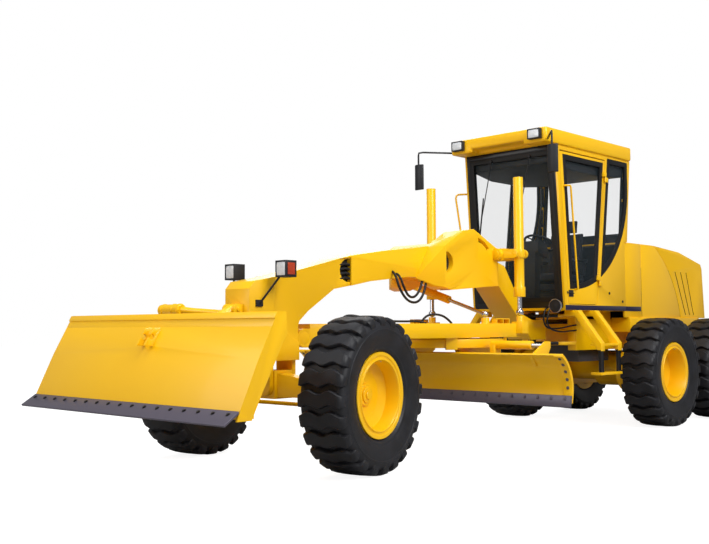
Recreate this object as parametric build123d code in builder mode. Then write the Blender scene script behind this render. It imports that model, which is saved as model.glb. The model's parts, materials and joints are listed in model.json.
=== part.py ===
"""Articulated motor grader with a front dozer blade, in millimetres.

+X runs forward, +Y to the machine's left, +Z up. The origin lies on the ground, midway along
the machine and on its centre plane. Side profiles are lists of (x, z) points, plan profiles
lists of (x, y) points.
"""

from build123d import *
import os
from math import atan2, cos, degrees, hypot, radians, sin

os.makedirs("parts", exist_ok=True)

# Wheels, axles and stance
tyre_od = 1350.0
tyre_width = 445.0
bead_radius = 318.0
rim_width = 366.0
rim_flange_radius = 366.0
rim_flange_thickness = 20.0
rim_barrel_thickness = 27.0
disc_depth = 250.0
disc_thickness = 16.0
hub_radius = 95.0
spindle_radius = 50.0
wheelbase = 6250.0
track_half = 1090.0
tandem_half = 769.0
front_axle_x = 3120.0
steer_rest = 10.4

# Fits
seat_gap = 0.3
running_gap = 0.05
slide_gap = 0.3
door_gap = 6.0
door_top_gap = 14.0

# Front frame: head, gooseneck and rear leg
frame_half = 170.0
head_front_x = front_axle_x + 450.0
head_rear_x = front_axle_x - 153.0
head_bottom_z = 950.0
ball_x = front_axle_x - 300.0
ball_z = 1150.0
ball_radius = 45.0
hitch_x = front_axle_x - 4250.0
hitch_pin_radius = 50.0
tongue_z = (1090.0, 1330.0)
fork_plate = 40.0
fork_z = (1020.0, 1360.0)

# Front axle and steering
kingpin_half = 860.0
kingpin_radius = 25.0
axle_eye_radius = 52.0
axle_eye_z = (600.0, 750.0)
knuckle_ear = 46.0
knuckle_plate_y = 106.0
knuckle_plate = 40.0
steer_arm = 280.0
tie_rod_z = 525.0
tie_rod_radius = 20.0

# Rear axle and tandem cases
case_y = (620.0, 860.0)
case_half_length = 1070.0
case_half_height = 250.0
axle_housing_radius = 170.0
rail_y = (280.0, 400.0)
rail_z = (950.0, 1340.0)
rear_face_x = -4600.0

# Drawbar, circle and moldboard
circle_x = front_axle_x - 2400.0
circle_z = (1030.0, 1120.0)
circle_radii = (600.0, 720.0)
drawbar_z = (1135.0, 1285.0)
drawbar_half = 620.0
drawbar_rear_x = 20.0
tilt_pivot = (760.0, 660.0)
tilt_shaft_radius = 25.0
leg_y = (430.0, 490.0)
leg_reach = 480.0
bracket_y = (500.0, 560.0)
moldboard_half = 1830.0
moldboard_radius = 366.0
moldboard_centre = (1306.0, 658.0)
moldboard_thickness = 18.0
moldboard_top_angle = 120.7
moldboard_foot_angle = 192.0
moldboard_foot = 70.0
edge_height = 118.0
edge_thickness = 18.0
rail_size = 34.0
upper_rail_angle = 136.0
lower_rail_angle = 178.0
shift_axis = (800.0, 1060.0)
shift_tube_radius = 45.0
shift_bore_radius = 33.0
shift_rod_radius = 20.0
shift_tube_y = (790.0, 1287.0)
shift_eye_y = 1434.0
shift_piston = (868.0, 888.0)

# Lift cylinders and their saddle
lift_x = 50.0
lift_y = 630.0
trunnion_z = 2060.0
lift_tube_radius = 55.0
lift_bore_radius = 42.0
lift_rod_radius = 25.0
lift_top_z = 2920.0
gland_z = 1580.0
lift_eye_z = 1410.0
lift_rod_inside = 930.0
lift_ball_radius = 42.0
ball_gap = 1.0
saddle_half = 400.0

# Centre shift cylinder, in the plane x = swing_x
swing_x = 520.0
swing_base = (-700.0, 1790.0)
swing_eye = (500.0, 1385.0)
swing_tube_start = 50.0
swing_tube_length = 740.0
swing_tube_radius = 45.0
swing_bore_radius = 33.0
swing_rod_radius = 20.0
swing_ball_radius = 36.0
swing_pin_radius = 20.0
swing_yoke_length = 160.0
swing_yoke_plate = 15.0
swing_yoke_gap = 2.0
swing_yoke_radius = 40.0
swing_trunnion_radius = 16.0
swing_piston = (370.0, 400.0)
swing_ear = 25.0

# Front dozer blade
dozer_half = 1456.0
dozer_pivot = (3600.0, 800.0)
dozer_cylinder_base = (3625.0, 1415.0)
dozer_cylinder_eye = (4400.0, 1010.0)
dozer_plate = 14.0
dozer_tube_length = 560.0
dozer_pin_radius = 16.0
open_pivot_gap = 7.0

# Cab
cab_half = 669.0
cab_wall = 50.0
cab_floor_z = 1440.0
cab_top_z = 3395.0
cab_front_foot_x = -830.0
cab_front_top_x = -684.0
cab_rear_top_x = -2450.0
cab_rear_x = -2270.0
roof_half = 700.0
roof_top_z = 3569.0
roof_x = (-2451.0, -431.0)
glass_thickness = 6.0
post_width = 70.0

# Hood
hood_half = 650.0
hood_top_z = 2330.0
hood_bottom_z = 1360.0
hood_wall = 20.0
box_bottom_z = 1173.0
exhaust_x = -2950.0
exhaust_y = -350.0


def block(x0, x1, y0, y1, z0, z1, mode=Mode.ADD):
    """A box between two corners, given axis by axis."""
    with Locations(((x0 + x1) / 2, (y0 + y1) / 2, (z0 + z1) / 2)):
        Box(x1 - x0, y1 - y0, z1 - z0, mode=mode)


def prism_y(points, y0, y1, mode=Mode.ADD):
    """A side profile of (x, z) points extruded from y0 to y1."""
    with BuildSketch(Plane.XZ.offset(-y0)) as profile:
        with BuildLine():
            Polyline(*points, close=True)
        make_face()
    extrude(profile.sketch, amount=y0 - y1, mode=mode)


def prism_z(points, z0, z1, mode=Mode.ADD):
    """A plan profile of (x, y) points extruded from z0 to z1."""
    with BuildSketch(Plane.XY.offset(z0)) as profile:
        with BuildLine():
            Polyline(*points, close=True)
        make_face()
    extrude(profile.sketch, amount=z1 - z0, mode=mode)


def rod(start, end, radius, mode=Mode.ADD):
    """A round bar from one point to another."""
    along = Vector(*end) - Vector(*start)
    with BuildSketch(Plane(origin=start, z_dir=along)) as disc:
        Circle(radius)
    extrude(disc.sketch, amount=along.length, mode=mode)


def ear_x(x0, thickness, root_y, eye_y, eye_z, radius, bore=0.0):
    """A rounded ear across the X axis, from y = root_y out to its eye."""
    with BuildSketch(Plane.YZ.offset(x0)) as shape:
        with Locations(((root_y + eye_y) / 2, eye_z)):
            Rectangle(abs(eye_y - root_y), 2 * radius)
        with Locations((eye_y, eye_z)):
            Circle(radius)
            if bore > 0:
                Circle(bore, mode=Mode.SUBTRACT)
    extrude(shape.sketch, amount=thickness)


def mirrored(points):
    """A closed plan profile from its left half, given front to back."""
    return points + [(x, -y) for x, y in reversed(points)]


def save(builder, name):
    """Label a finished piece and write it as its own file."""
    builder.part.label = name
    export_step(builder.part, f"parts/{name}.step")


def save_at(shape, name):
    """Label a placed copy of a finished piece and write it."""
    shape.label = name
    export_step(shape, f"parts/{name}.step")


# Wheels, made about the Y axis with the outer side at +Y
wheel_radius = tyre_od / 2
rim_half = rim_width / 2
disc_outer_y = rim_half - disc_depth
disc_inner_y = disc_outer_y - disc_thickness
hub_inner_y = kingpin_half + knuckle_plate_y + slide_gap - track_half
bead_y = rim_half - rim_flange_thickness - seat_gap
tyre_half = tyre_width / 2

with BuildPart() as tyre:
    with BuildSketch(Plane.XY):
        with BuildLine():
            Polyline(
                (bead_radius + seat_gap, -bead_y),
                (bead_radius + seat_gap, bead_y),
                (rim_flange_radius, bead_y),
            )
            ThreePointArc(
                (rim_flange_radius, bead_y),
                (525.0, tyre_half),
                (wheel_radius - 42.0, tyre_half - 18.0),
            )
            Polyline(
                (wheel_radius - 42.0, tyre_half - 18.0),
                (wheel_radius, tyre_half - 60.0),
                (wheel_radius, -tyre_half + 60.0),
                (wheel_radius - 42.0, -tyre_half + 18.0),
            )
            ThreePointArc(
                (wheel_radius - 42.0, -tyre_half + 18.0),
                (525.0, -tyre_half),
                (rim_flange_radius, -bead_y),
            )
            Line((rim_flange_radius, -bead_y), (bead_radius + seat_gap, -bead_y))
        make_face()
    revolve(axis=Axis.Y)

with BuildPart() as rim:
    with BuildSketch(Plane.XY):
        with BuildLine():
            Polyline(
                (bead_radius - rim_barrel_thickness, -rim_half),
                (rim_flange_radius, -rim_half),
                (rim_flange_radius, -rim_half + rim_flange_thickness),
                (bead_radius, -rim_half + rim_flange_thickness),
                (bead_radius, rim_half - rim_flange_thickness),
                (rim_flange_radius, rim_half - rim_flange_thickness),
                (rim_flange_radius, rim_half),
                (bead_radius - rim_barrel_thickness, rim_half),
                close=True,
            )
        make_face()
    revolve(axis=Axis.Y)
    with BuildSketch(Plane.XZ.offset(-disc_outer_y)):
        Circle(bead_radius - 2.0)
    extrude(amount=disc_thickness)
    with BuildSketch(Plane.XZ.offset(-disc_outer_y - 40.0)):
        Circle(hub_radius)
    extrude(amount=disc_outer_y + 40.0 - hub_inner_y)
    with BuildSketch(Plane.XZ.offset(-disc_outer_y)):
        Circle(spindle_radius + running_gap)
    extrude(amount=disc_outer_y - hub_inner_y, mode=Mode.SUBTRACT)

# columns: name, x, side, steered
wheels = [
    ("front_left", front_axle_x, 1, True),
    ("front_right", front_axle_x, -1, True),
    ("mid_left", front_axle_x - wheelbase + tandem_half, 1, False),
    ("mid_right", front_axle_x - wheelbase + tandem_half, -1, False),
    ("rear_left", front_axle_x - wheelbase - tandem_half, 1, False),
    ("rear_right", front_axle_x - wheelbase - tandem_half, -1, False),
]


def steered(side):
    """The move that turns a front wheel's set about its kingpin to its rest angle."""
    to_kingpin = Location((front_axle_x, side * kingpin_half, 0))
    return to_kingpin * Location((0, 0, 0), (0, 0, steer_rest)) * to_kingpin.inverse()


for name, x, side, turned in wheels:
    place = Location((x, side * track_half, wheel_radius), (0, 0, 0 if side > 0 else 180))
    if turned:
        place = steered(side) * place
    save_at(tyre.part.moved(place), f"tyre_{name}")
    save_at(rim.part.moved(place), f"rim_{name}")

# Front frame
axle_pin_z = 730.0
axle_block_x = 110.0
head_profile = [
    (head_front_x - 60.0, 1669.0),
    (front_axle_x + 132.0, 1716.0),
    (front_axle_x - 852.0, 1958.0),
    (front_axle_x - 1344.0, 2032.0),
    (front_axle_x - 2061.0, 2115.0),
    (front_axle_x - 2980.0, 2090.0),
    (front_axle_x - 3440.0, 1960.0),
    (front_axle_x - 3700.0, 1600.0),
    (front_axle_x - 3780.0, 1400.0),
    (front_axle_x - 4000.0, tongue_z[1]),
    (hitch_x, tongue_z[1]),
    (hitch_x, tongue_z[0]),
    (front_axle_x - 3984.0, tongue_z[0]),
    (front_axle_x - 3317.0, 1722.0),
    (front_axle_x - 3000.0, 1770.0),
    (front_axle_x - 1715.0, 1777.0),
    (front_axle_x - 1119.0, 1710.0),
    (front_axle_x - 872.0, 1663.0),
    (front_axle_x - 631.0, 1622.0),
    (front_axle_x - 485.0, 1531.0),
    (front_axle_x - 285.0, 1405.0),
    (front_axle_x - 174.0, 1313.0),
    (head_rear_x, 1253.0),
    (head_rear_x, head_bottom_z),
    (head_front_x, head_bottom_z),
    (head_front_x, 1600.0),
]
with BuildPart() as front_frame:
    prism_y(head_profile, -frame_half, frame_half)
    # tongue end, with its bore for the hitch pin
    rod((hitch_x, 0, tongue_z[0]), (hitch_x, 0, tongue_z[1]), frame_half)
    rod((hitch_x, 0, tongue_z[0]), (hitch_x, 0, tongue_z[1]), hitch_pin_radius + running_gap, Mode.SUBTRACT)
    # ball stud for the drawbar
    rod((head_rear_x, 0, ball_z), (ball_x, 0, ball_z), 26.0)
    with Locations((ball_x, 0, ball_z)):
        Sphere(ball_radius)
    # ears and pin that carry the front axle
    for x in (front_axle_x - axle_block_x - 50.0, front_axle_x + axle_block_x + 5.0):
        block(x, x + 45.0, -110.0, 110.0, axle_pin_z, head_bottom_z)
        rod((x, 0, axle_pin_z), (x + 45.0, 0, axle_pin_z), 110.0)
    rod(
        (front_axle_x - axle_block_x - 50.0, 0, axle_pin_z),
        (front_axle_x + axle_block_x + 50.0, 0, axle_pin_z),
        45.0,
    )
    # lugs for the dozer frame and its cylinder
    for y0 in (-160.0, 100.0):
        block(head_front_x - 70.0, dozer_pivot[0], y0, y0 + 60.0, dozer_pivot[1] - 50.0, 1000.0)
        rod((dozer_pivot[0], y0, dozer_pivot[1]), (dozer_pivot[0], y0 + 60.0, dozer_pivot[1]), 50.0)
    rod((dozer_pivot[0], -225.0, dozer_pivot[1]), (dozer_pivot[0], 225.0, dozer_pivot[1]), 25.0)
    for y0 in (-85.0, 60.0):
        block(head_front_x - 10.0, dozer_cylinder_base[0], y0, y0 + 25.0, 1365.0, 1465.0)
        rod(
            (dozer_cylinder_base[0], y0, dozer_cylinder_base[1]),
            (dozer_cylinder_base[0], y0 + 25.0, dozer_cylinder_base[1]),
            50.0,
        )
    rod(
        (dozer_cylinder_base[0], -95.0, dozer_cylinder_base[1]),
        (dozer_cylinder_base[0], 95.0, dozer_cylinder_base[1]),
        20.0,
    )
save(front_frame, "front_frame")

# Front axle, hung on its fore-and-aft pin
with BuildPart() as front_axle:
    block(
        front_axle_x - axle_block_x, front_axle_x + axle_block_x, -120.0, 120.0, 600.0, 860.0
    )
    for side in (1, -1):
        with BuildSketch(Plane.XZ.offset(-side * 110.0)) as root:
            with Locations((front_axle_x, 725.0)):
                Rectangle(150.0, 220.0)
        with BuildSketch(Plane.XZ.offset(-side * (kingpin_half - 40.0))) as tip:
            with Locations((front_axle_x, 685.0)):
                Rectangle(84.0, 110.0)
        loft([root.sketch, tip.sketch])
        eye_low = (front_axle_x, side * kingpin_half, axle_eye_z[0])
        eye_high = (front_axle_x, side * kingpin_half, axle_eye_z[1])
        rod(eye_low, eye_high, axle_eye_radius)
        rod(eye_low, eye_high, kingpin_radius + running_gap, Mode.SUBTRACT)
    rod(
        (front_axle_x - axle_block_x - 5.0, 0, axle_pin_z),
        (front_axle_x + axle_block_x + 5.0, 0, axle_pin_z),
        45.0 + running_gap,
        Mode.SUBTRACT,
    )
save(front_axle, "front_axle")

# Steering knuckles, made straight ahead and turned to the rest angle
knuckle_z = (axle_eye_z[0] - knuckle_ear, axle_eye_z[1] + knuckle_ear)
for side, name in ((1, "knuckle_left"), (-1, "knuckle_right")):
    with BuildPart() as knuckle:
        y_in, y_out = sorted((side * kingpin_half, side * (kingpin_half + knuckle_plate_y)))
        for z0 in (knuckle_z[0], axle_eye_z[1] + slide_gap):
            z1 = z0 + knuckle_ear - slide_gap
            rod((front_axle_x, side * kingpin_half, z0), (front_axle_x, side * kingpin_half, z1), 55.0)
            block(front_axle_x - 55.0, front_axle_x + 55.0, y_in, y_out, z0, z1)
        y_a, y_b = sorted((side * (kingpin_half + knuckle_plate_y - knuckle_plate), side * (kingpin_half + knuckle_plate_y)))
        block(front_axle_x - 55.0, front_axle_x + 55.0, y_a, y_b, knuckle_z[0], knuckle_z[1])
        rod(
            (front_axle_x, side * kingpin_half, knuckle_z[0]),
            (front_axle_x, side * kingpin_half, knuckle_z[1]),
            kingpin_radius,
        )
        rod(
            (front_axle_x, side * (kingpin_half + 100.0), wheel_radius),
            (front_axle_x, side * (track_half + disc_outer_y - 0.5), wheel_radius),
            spindle_radius,
        )
        arm_low = knuckle_z[0]
        block(
            front_axle_x - steer_arm, front_axle_x - 30.0,
            side * kingpin_half - 22.0, side * kingpin_half + 22.0, arm_low, arm_low + 36.0,
        )
        rod(
            (front_axle_x - steer_arm, side * kingpin_half, arm_low),
            (front_axle_x - steer_arm, side * kingpin_half, arm_low + 36.0),
            32.0,
        )
        rod(
            (front_axle_x - steer_arm, side * kingpin_half, arm_low),
            (front_axle_x - steer_arm, side * kingpin_half, arm_low + 36.0),
            12.0 + running_gap,
            Mode.SUBTRACT,
        )
    save_at(knuckle.part.moved(steered(side)), name)

# Tie rod between the arms
arm_dx = -steer_arm * cos(radians(steer_rest))
arm_dy = -steer_arm * sin(radians(steer_rest))
tie_x = front_axle_x + arm_dx
tie_left_y = kingpin_half + arm_dy
tie_right_y = -kingpin_half + arm_dy
with BuildPart() as tie_rod:
    rod((tie_x, tie_right_y, tie_rod_z), (tie_x, tie_left_y, tie_rod_z), tie_rod_radius)
    for y in (tie_left_y, tie_right_y):
        rod((tie_x, y, tie_rod_z - 24.0), (tie_x, y, tie_rod_z + 24.0), 30.0)
        rod((tie_x, y, tie_rod_z), (tie_x, y, knuckle_z[0] + 46.0), 12.0)
save(tie_rod, "tie_rod")

# Saddle over the gooseneck, with the forks that carry the lift cylinders
saddle_profile = [
    (front_axle_x - 1829.0, 1769.0),
    (front_axle_x - 1960.0, 1690.0),
    (front_axle_x - 2125.0, 1646.0),
    (front_axle_x - 2300.0, 1700.0),
    (front_axle_x - 2601.0, 1894.0),
    (front_axle_x - 2985.0, 1708.0),
    (front_axle_x - 2985.0, 2121.0),
    (front_axle_x - 2544.0, 2319.0),
    (front_axle_x - 2368.0, 2293.0),
    (front_axle_x - 2042.0, 2108.0),
]
saddle_y = (frame_half + seat_gap, saddle_half)
swing_yoke_half = swing_tube_radius + swing_yoke_gap + swing_yoke_plate
with BuildPart() as saddle:
    prism_y(saddle_profile, -saddle_half, saddle_half)
    prism_y(
        [
            (100.0, 1500.0), (1500.0, 1500.0), (1500.0, 2115.0 + seat_gap),
            (front_axle_x - 2061.0, 2115.0 + seat_gap), (front_axle_x - 2980.0, 2090.0 + seat_gap),
            (100.0, 2090.0 + seat_gap),
        ],
        -saddle_y[0], saddle_y[0], Mode.SUBTRACT,
    )
    for side in (1, -1):
        y_a, y_b = sorted((side * saddle_y[0], side * 500.0))
        block(lift_x - 110.0, lift_x + 110.0, y_a, y_b, trunnion_z - 65.0, trunnion_z + 65.0)
        for x0 in (lift_x - 110.0, lift_x + 75.0):
            ear_x(x0, 35.0, side * 480.0, side * lift_y, trunnion_z, 50.0, 20.0 + running_gap)
    # bracket for the centre shift cylinder's base, on the right side
    ear_inner = swing_yoke_half + swing_yoke_gap
    for x0 in (swing_x - ear_inner - swing_ear, swing_x + ear_inner):
        ear_x(x0, swing_ear, -saddle_half + 20.0, swing_base[0], swing_base[1], 45.0)
        block(x0, x0 + swing_ear, -saddle_half - 60.0, -saddle_half + 20.0, swing_base[1], 2100.0)
    pin_half = ear_inner + swing_ear + 10.0
    rod(
        (swing_x - pin_half, *swing_base), (swing_x + pin_half, *swing_base), swing_pin_radius,
    )
save(saddle, "saddle")

# Lift cylinders
for side, name in ((1, "left"), (-1, "right")):
    y = side * lift_y
    with BuildPart() as tube:
        rod((lift_x, y, gland_z), (lift_x, y, lift_top_z), lift_tube_radius)
        rod((lift_x, y, gland_z), (lift_x, y, gland_z + 110.0), lift_tube_radius + 10.0)
        rod((lift_x, y, trunnion_z - 45.0), (lift_x, y, trunnion_z + 45.0), 70.0)
        rod((lift_x - 110.0, y, trunnion_z), (lift_x + 110.0, y, trunnion_z), 20.0)
        rod((lift_x, y, gland_z + 40.0), (lift_x, y, lift_top_z - 30.0), lift_bore_radius, Mode.SUBTRACT)
        rod(
            (lift_x, y, gland_z), (lift_x, y, gland_z + 50.0),
            lift_rod_radius + slide_gap, Mode.SUBTRACT,
        )
    save(tube, f"lift_tube_{name}")
    with BuildPart() as piston_rod:
        rod((lift_x, y, lift_eye_z + 20.0), (lift_x, y, gland_z + lift_rod_inside), lift_rod_radius)
        rod(
            (lift_x, y, gland_z + lift_rod_inside - 60.0), (lift_x, y, gland_z + lift_rod_inside),
            lift_bore_radius - slide_gap,
        )
        with Locations((lift_x, y, lift_eye_z)):
            Sphere(lift_ball_radius)
    save(piston_rod, f"lift_rod_{name}")

# Drawbar socket around the ball
with BuildPart() as drawbar_socket:
    rod((ball_x, -85.0, ball_z), (ball_x, 85.0, ball_z), 62.0)
    with Locations((ball_x, 0, ball_z)):
        Sphere(ball_radius + slide_gap, mode=Mode.SUBTRACT)
    rod((ball_x, 0, ball_z), (ball_x + 80.0, 0, ball_z), 42.0, Mode.SUBTRACT)
save(drawbar_socket, "drawbar_socket")

# Drawbar: A-frame, platform over the circle, shoes that hold the circle
drawbar_outer = [(ball_x - 70.0, 85.0), (front_axle_x - 1530.0, drawbar_half), (drawbar_rear_x, drawbar_half)]
drawbar_inner = [(ball_x - 560.0, 40.0), (front_axle_x - 1560.0, 440.0), (front_axle_x - 1700.0, 440.0)]
with BuildPart() as drawbar:
    prism_z(mirrored(drawbar_outer), drawbar_z[0], drawbar_z[1])
    prism_z(mirrored(drawbar_inner), drawbar_z[0], drawbar_z[1], Mode.SUBTRACT)
    for y0 in (-85.0, 50.0):
        block(ball_x - 180.0, ball_x, y0, y0 + 35.0, ball_z - 90.0, ball_z + 90.0)
        rod((ball_x, y0, ball_z), (ball_x, y0 + 35.0, ball_z), 90.0)
    block(ball_x - 180.0, ball_x - 95.0, -85.0, 85.0, ball_z - 90.0, drawbar_z[1])
    rod((ball_x, -90.0, ball_z), (ball_x, 90.0, ball_z), 62.0 + running_gap, Mode.SUBTRACT)
    # pads under the lift cylinders' ball ends
    for side in (1, -1):
        y_a, y_b = sorted((side * 560.0, side * 700.0))
        block(lift_x - 60.0, lift_x + 60.0, y_a, y_b, drawbar_z[0] + 40.0, drawbar_z[1] + 20.0)
        pad_top = lift_eye_z - lift_ball_radius - ball_gap
        rod((lift_x, side * lift_y, drawbar_z[1]), (lift_x, side * lift_y, pad_top), lift_ball_radius)
    # pad under the centre shift rod's ball end, on the left side
    pad_top = swing_eye[1] - swing_ball_radius - ball_gap
    rod((swing_x, swing_eye[0], drawbar_z[1] - 1.0), (swing_x, swing_eye[0], pad_top), swing_ball_radius + 9.0)
    # shoes around the ring
    for angle in (50, 130, 230, 310):
        inner = Location((circle_x, 0, 0), (0, 0, angle))
        with Locations(inner * Location((circle_radii[1] + 15.0, 0, (drawbar_z[0] + 1012.0) / 2))):
            Box(28.0, 120.0, drawbar_z[0] - 1012.0)
        with Locations(inner * Location((circle_radii[1] - 5.0, 0, circle_z[0] - seat_gap - 8.5))):
            Box(40.0, 120.0, 17.0)
save(drawbar, "drawbar")

# Circle: toothed ring with two legs
with BuildPart() as circle:
    with BuildSketch(Plane.XY.offset(circle_z[0])):
        with Locations((circle_x, 0)):
            Circle(circle_radii[1])
            Circle(circle_radii[0], mode=Mode.SUBTRACT)
    extrude(amount=circle_z[1] - circle_z[0])
    leg_profile = [
        (circle_x - leg_reach, circle_z[0] + 40.0), (circle_x + leg_reach, circle_z[0] + 40.0),
        (circle_x + leg_reach, circle_z[0]), (circle_x + 270.0, circle_z[0]), (tilt_pivot[0] + 90.0, 800.0),
        (tilt_pivot[0] + 60.0, tilt_pivot[1]), (tilt_pivot[0] - 60.0, tilt_pivot[1]),
        (tilt_pivot[0] - 240.0, 800.0), (circle_x - leg_reach, circle_z[0] - 40.0),
    ]
    for side in (1, -1):
        y_a, y_b = sorted((side * leg_y[0], side * leg_y[1]))
        prism_y(leg_profile, y_a, y_b)
        rod((tilt_pivot[0], y_a, tilt_pivot[1]), (tilt_pivot[0], y_b, tilt_pivot[1]), 62.0)
        rod(
            (tilt_pivot[0], y_a, tilt_pivot[1]), (tilt_pivot[0], y_b, tilt_pivot[1]),
            tilt_shaft_radius + running_gap, Mode.SUBTRACT,
        )
save(circle, "circle")


def on_moldboard(angle, radius=moldboard_radius):
    """The point of the moldboard's section at an angle about its centre of curvature."""
    return (
        moldboard_centre[0] + radius * cos(radians(angle)),
        moldboard_centre[1] + radius * sin(radians(angle)),
    )


back_radius = moldboard_radius + moldboard_thickness
foot_along = (sin(radians(moldboard_foot_angle - 180.0)), -cos(radians(moldboard_foot_angle - 180.0)))
foot_out = (-foot_along[1], foot_along[0])


def from_foot(along, out):
    """A point by its distance down the moldboard's flat foot and out of its front face."""
    start = on_moldboard(moldboard_foot_angle)
    return (
        start[0] + along * foot_along[0] + out * foot_out[0],
        start[1] + along * foot_along[1] + out * foot_out[1],
    )


mid_angle = (moldboard_top_angle + moldboard_foot_angle) / 2
with BuildPart() as moldboard:
    with BuildSketch(Plane.XZ.offset(-moldboard_half)):
        with BuildLine():
            ThreePointArc(
                on_moldboard(moldboard_top_angle), on_moldboard(mid_angle), on_moldboard(moldboard_foot_angle)
            )
            Polyline(
                on_moldboard(moldboard_foot_angle), from_foot(moldboard_foot, 0.0),
                from_foot(moldboard_foot, -moldboard_thickness), from_foot(0.0, -moldboard_thickness),
            )
            ThreePointArc(
                from_foot(0.0, -moldboard_thickness), on_moldboard(mid_angle, back_radius),
                on_moldboard(moldboard_top_angle, back_radius),
            )
            Line(on_moldboard(moldboard_top_angle, back_radius), on_moldboard(moldboard_top_angle))
        make_face()
    extrude(amount=2 * moldboard_half)
    for angle in (upper_rail_angle, lower_rail_angle):
        x, z = on_moldboard(angle, back_radius + rail_size / 2 - 3.0)
        block(x - rail_size / 2, x + rail_size / 2, -1300.0, 1300.0, z - rail_size / 2, z + rail_size / 2)
    # lug for the side shift rod
    top_x, top_z = on_moldboard(moldboard_top_angle, back_radius)
    lug_profile = [
        (shift_axis[0] - 35.0, shift_axis[1] - 20.0), (shift_axis[0] - 35.0, shift_axis[1] + 40.0),
        (shift_axis[0] + 40.0, shift_axis[1] + 40.0), (top_x - 10.0, top_z - 30.0),
        (top_x - 90.0, top_z - 130.0), (shift_axis[0] + 30.0, shift_axis[1] - 120.0),
    ]
    prism_y(lug_profile, shift_eye_y + 15.0, shift_eye_y + 45.0)
save(moldboard, "moldboard")

with BuildPart() as cutting_edge:
    edge_profile = [
        from_foot(0.0, seat_gap / 3), from_foot(edge_height, seat_gap / 3),
        from_foot(edge_height - 6.0, edge_thickness), from_foot(0.0, edge_thickness),
    ]
    prism_y(edge_profile, -moldboard_half, moldboard_half)
save(cutting_edge, "cutting_edge")

# Side shift rod, fixed in the moldboard's lug
with BuildPart() as shift_rod:
    rod((shift_axis[0], shift_piston[0], shift_axis[1]), (shift_axis[0], shift_eye_y + 15.0, shift_axis[1]), shift_rod_radius)
    rod((shift_axis[0], shift_piston[0], shift_axis[1]), (shift_axis[0], shift_piston[1], shift_axis[1]), shift_bore_radius - slide_gap)
save(shift_rod, "shift_rod")

# Blade carrier: brackets on the tilt shaft that grip the moldboard's rails
upper_x, upper_z = on_moldboard(upper_rail_angle, back_radius + rail_size / 2 - 3.0)
lower_x, lower_z = on_moldboard(lower_rail_angle, back_radius + rail_size / 2 - 3.0)
with BuildPart() as blade_carrier:
    bracket_profile = [
        (tilt_pivot[0] - 60.0, tilt_pivot[1]), (tilt_pivot[0] - 40.0, upper_z + 25.0),
        (upper_x - 60.0, upper_z + 25.0), (upper_x + 5.0, upper_z + 25.0),
    ]
    bracket_profile += [on_moldboard(angle, back_radius + 6.0) for angle in (142.0, 150.0, 158.0, 166.0, 174.0, 184.0)]
    bracket_profile += [(tilt_pivot[0], tilt_pivot[1] - 60.0)]
    for side in (1, -1):
        y_a, y_b = sorted((side * bracket_y[0], side * bracket_y[1]))
        prism_y(bracket_profile, y_a, y_b)
        rod((tilt_pivot[0], y_a, tilt_pivot[1]), (tilt_pivot[0], y_b, tilt_pivot[1]), 60.0)
    for x, z in ((upper_x, upper_z), (lower_x, lower_z)):
        gap = rail_size / 2 + slide_gap
        block(x - gap, x + gap + 30.0, -600.0, 600.0, z - gap, z + gap, Mode.SUBTRACT)
    rod(
        (tilt_pivot[0], -bracket_y[1] - 20.0, tilt_pivot[1]),
        (tilt_pivot[0], bracket_y[1] + 20.0, tilt_pivot[1]), tilt_shaft_radius,
    )
    # arm out to the side shift cylinder
    block(shift_axis[0] - 55.0, shift_axis[0] + 5.0, bracket_y[0], 860.0, 880.0, 960.0)
    block(shift_axis[0] - 55.0, shift_axis[0] + 55.0, 800.0, 860.0, 880.0, shift_axis[1])
    rod(
        (shift_axis[0], 795.0, shift_axis[1]), (shift_axis[0], 865.0, shift_axis[1]),
        shift_tube_radius + slide_gap, Mode.SUBTRACT,
    )
save(blade_carrier, "blade_carrier")

with BuildPart() as shift_tube:
    rod((shift_axis[0], shift_tube_y[0], shift_axis[1]), (shift_axis[0], shift_tube_y[1], shift_axis[1]), shift_tube_radius)
    rod(
        (shift_axis[0], shift_tube_y[0] + 12.0, shift_axis[1]),
        (shift_axis[0], shift_tube_y[1] - 15.0, shift_axis[1]), shift_bore_radius, Mode.SUBTRACT,
    )
    rod(
        (shift_axis[0], shift_tube_y[1] - 40.0, shift_axis[1]),
        (shift_axis[0], shift_tube_y[1], shift_axis[1]), shift_rod_radius + slide_gap, Mode.SUBTRACT,
    )
save(shift_tube, "shift_tube")

# Centre shift cylinder
swing_start = Vector(swing_x, *swing_base)
swing_end = Vector(swing_x, *swing_eye)
swing_unit = (swing_end - swing_start).normalized()


def on_swing(distance):
    """A point along the centre shift cylinder's axis, from its base pin."""
    return tuple(swing_start + swing_unit * distance)


swing_length = (swing_end - swing_start).length
swing_slope = degrees(atan2(swing_unit.Z, swing_unit.Y))
swing_trunnion = on_swing(swing_yoke_length)


def across_swing(centre, half):
    """The two ends of a pin across the centre shift cylinder, through a point on its axis."""
    return (centre[0] - half, centre[1], centre[2]), (centre[0] + half, centre[1], centre[2])


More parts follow.
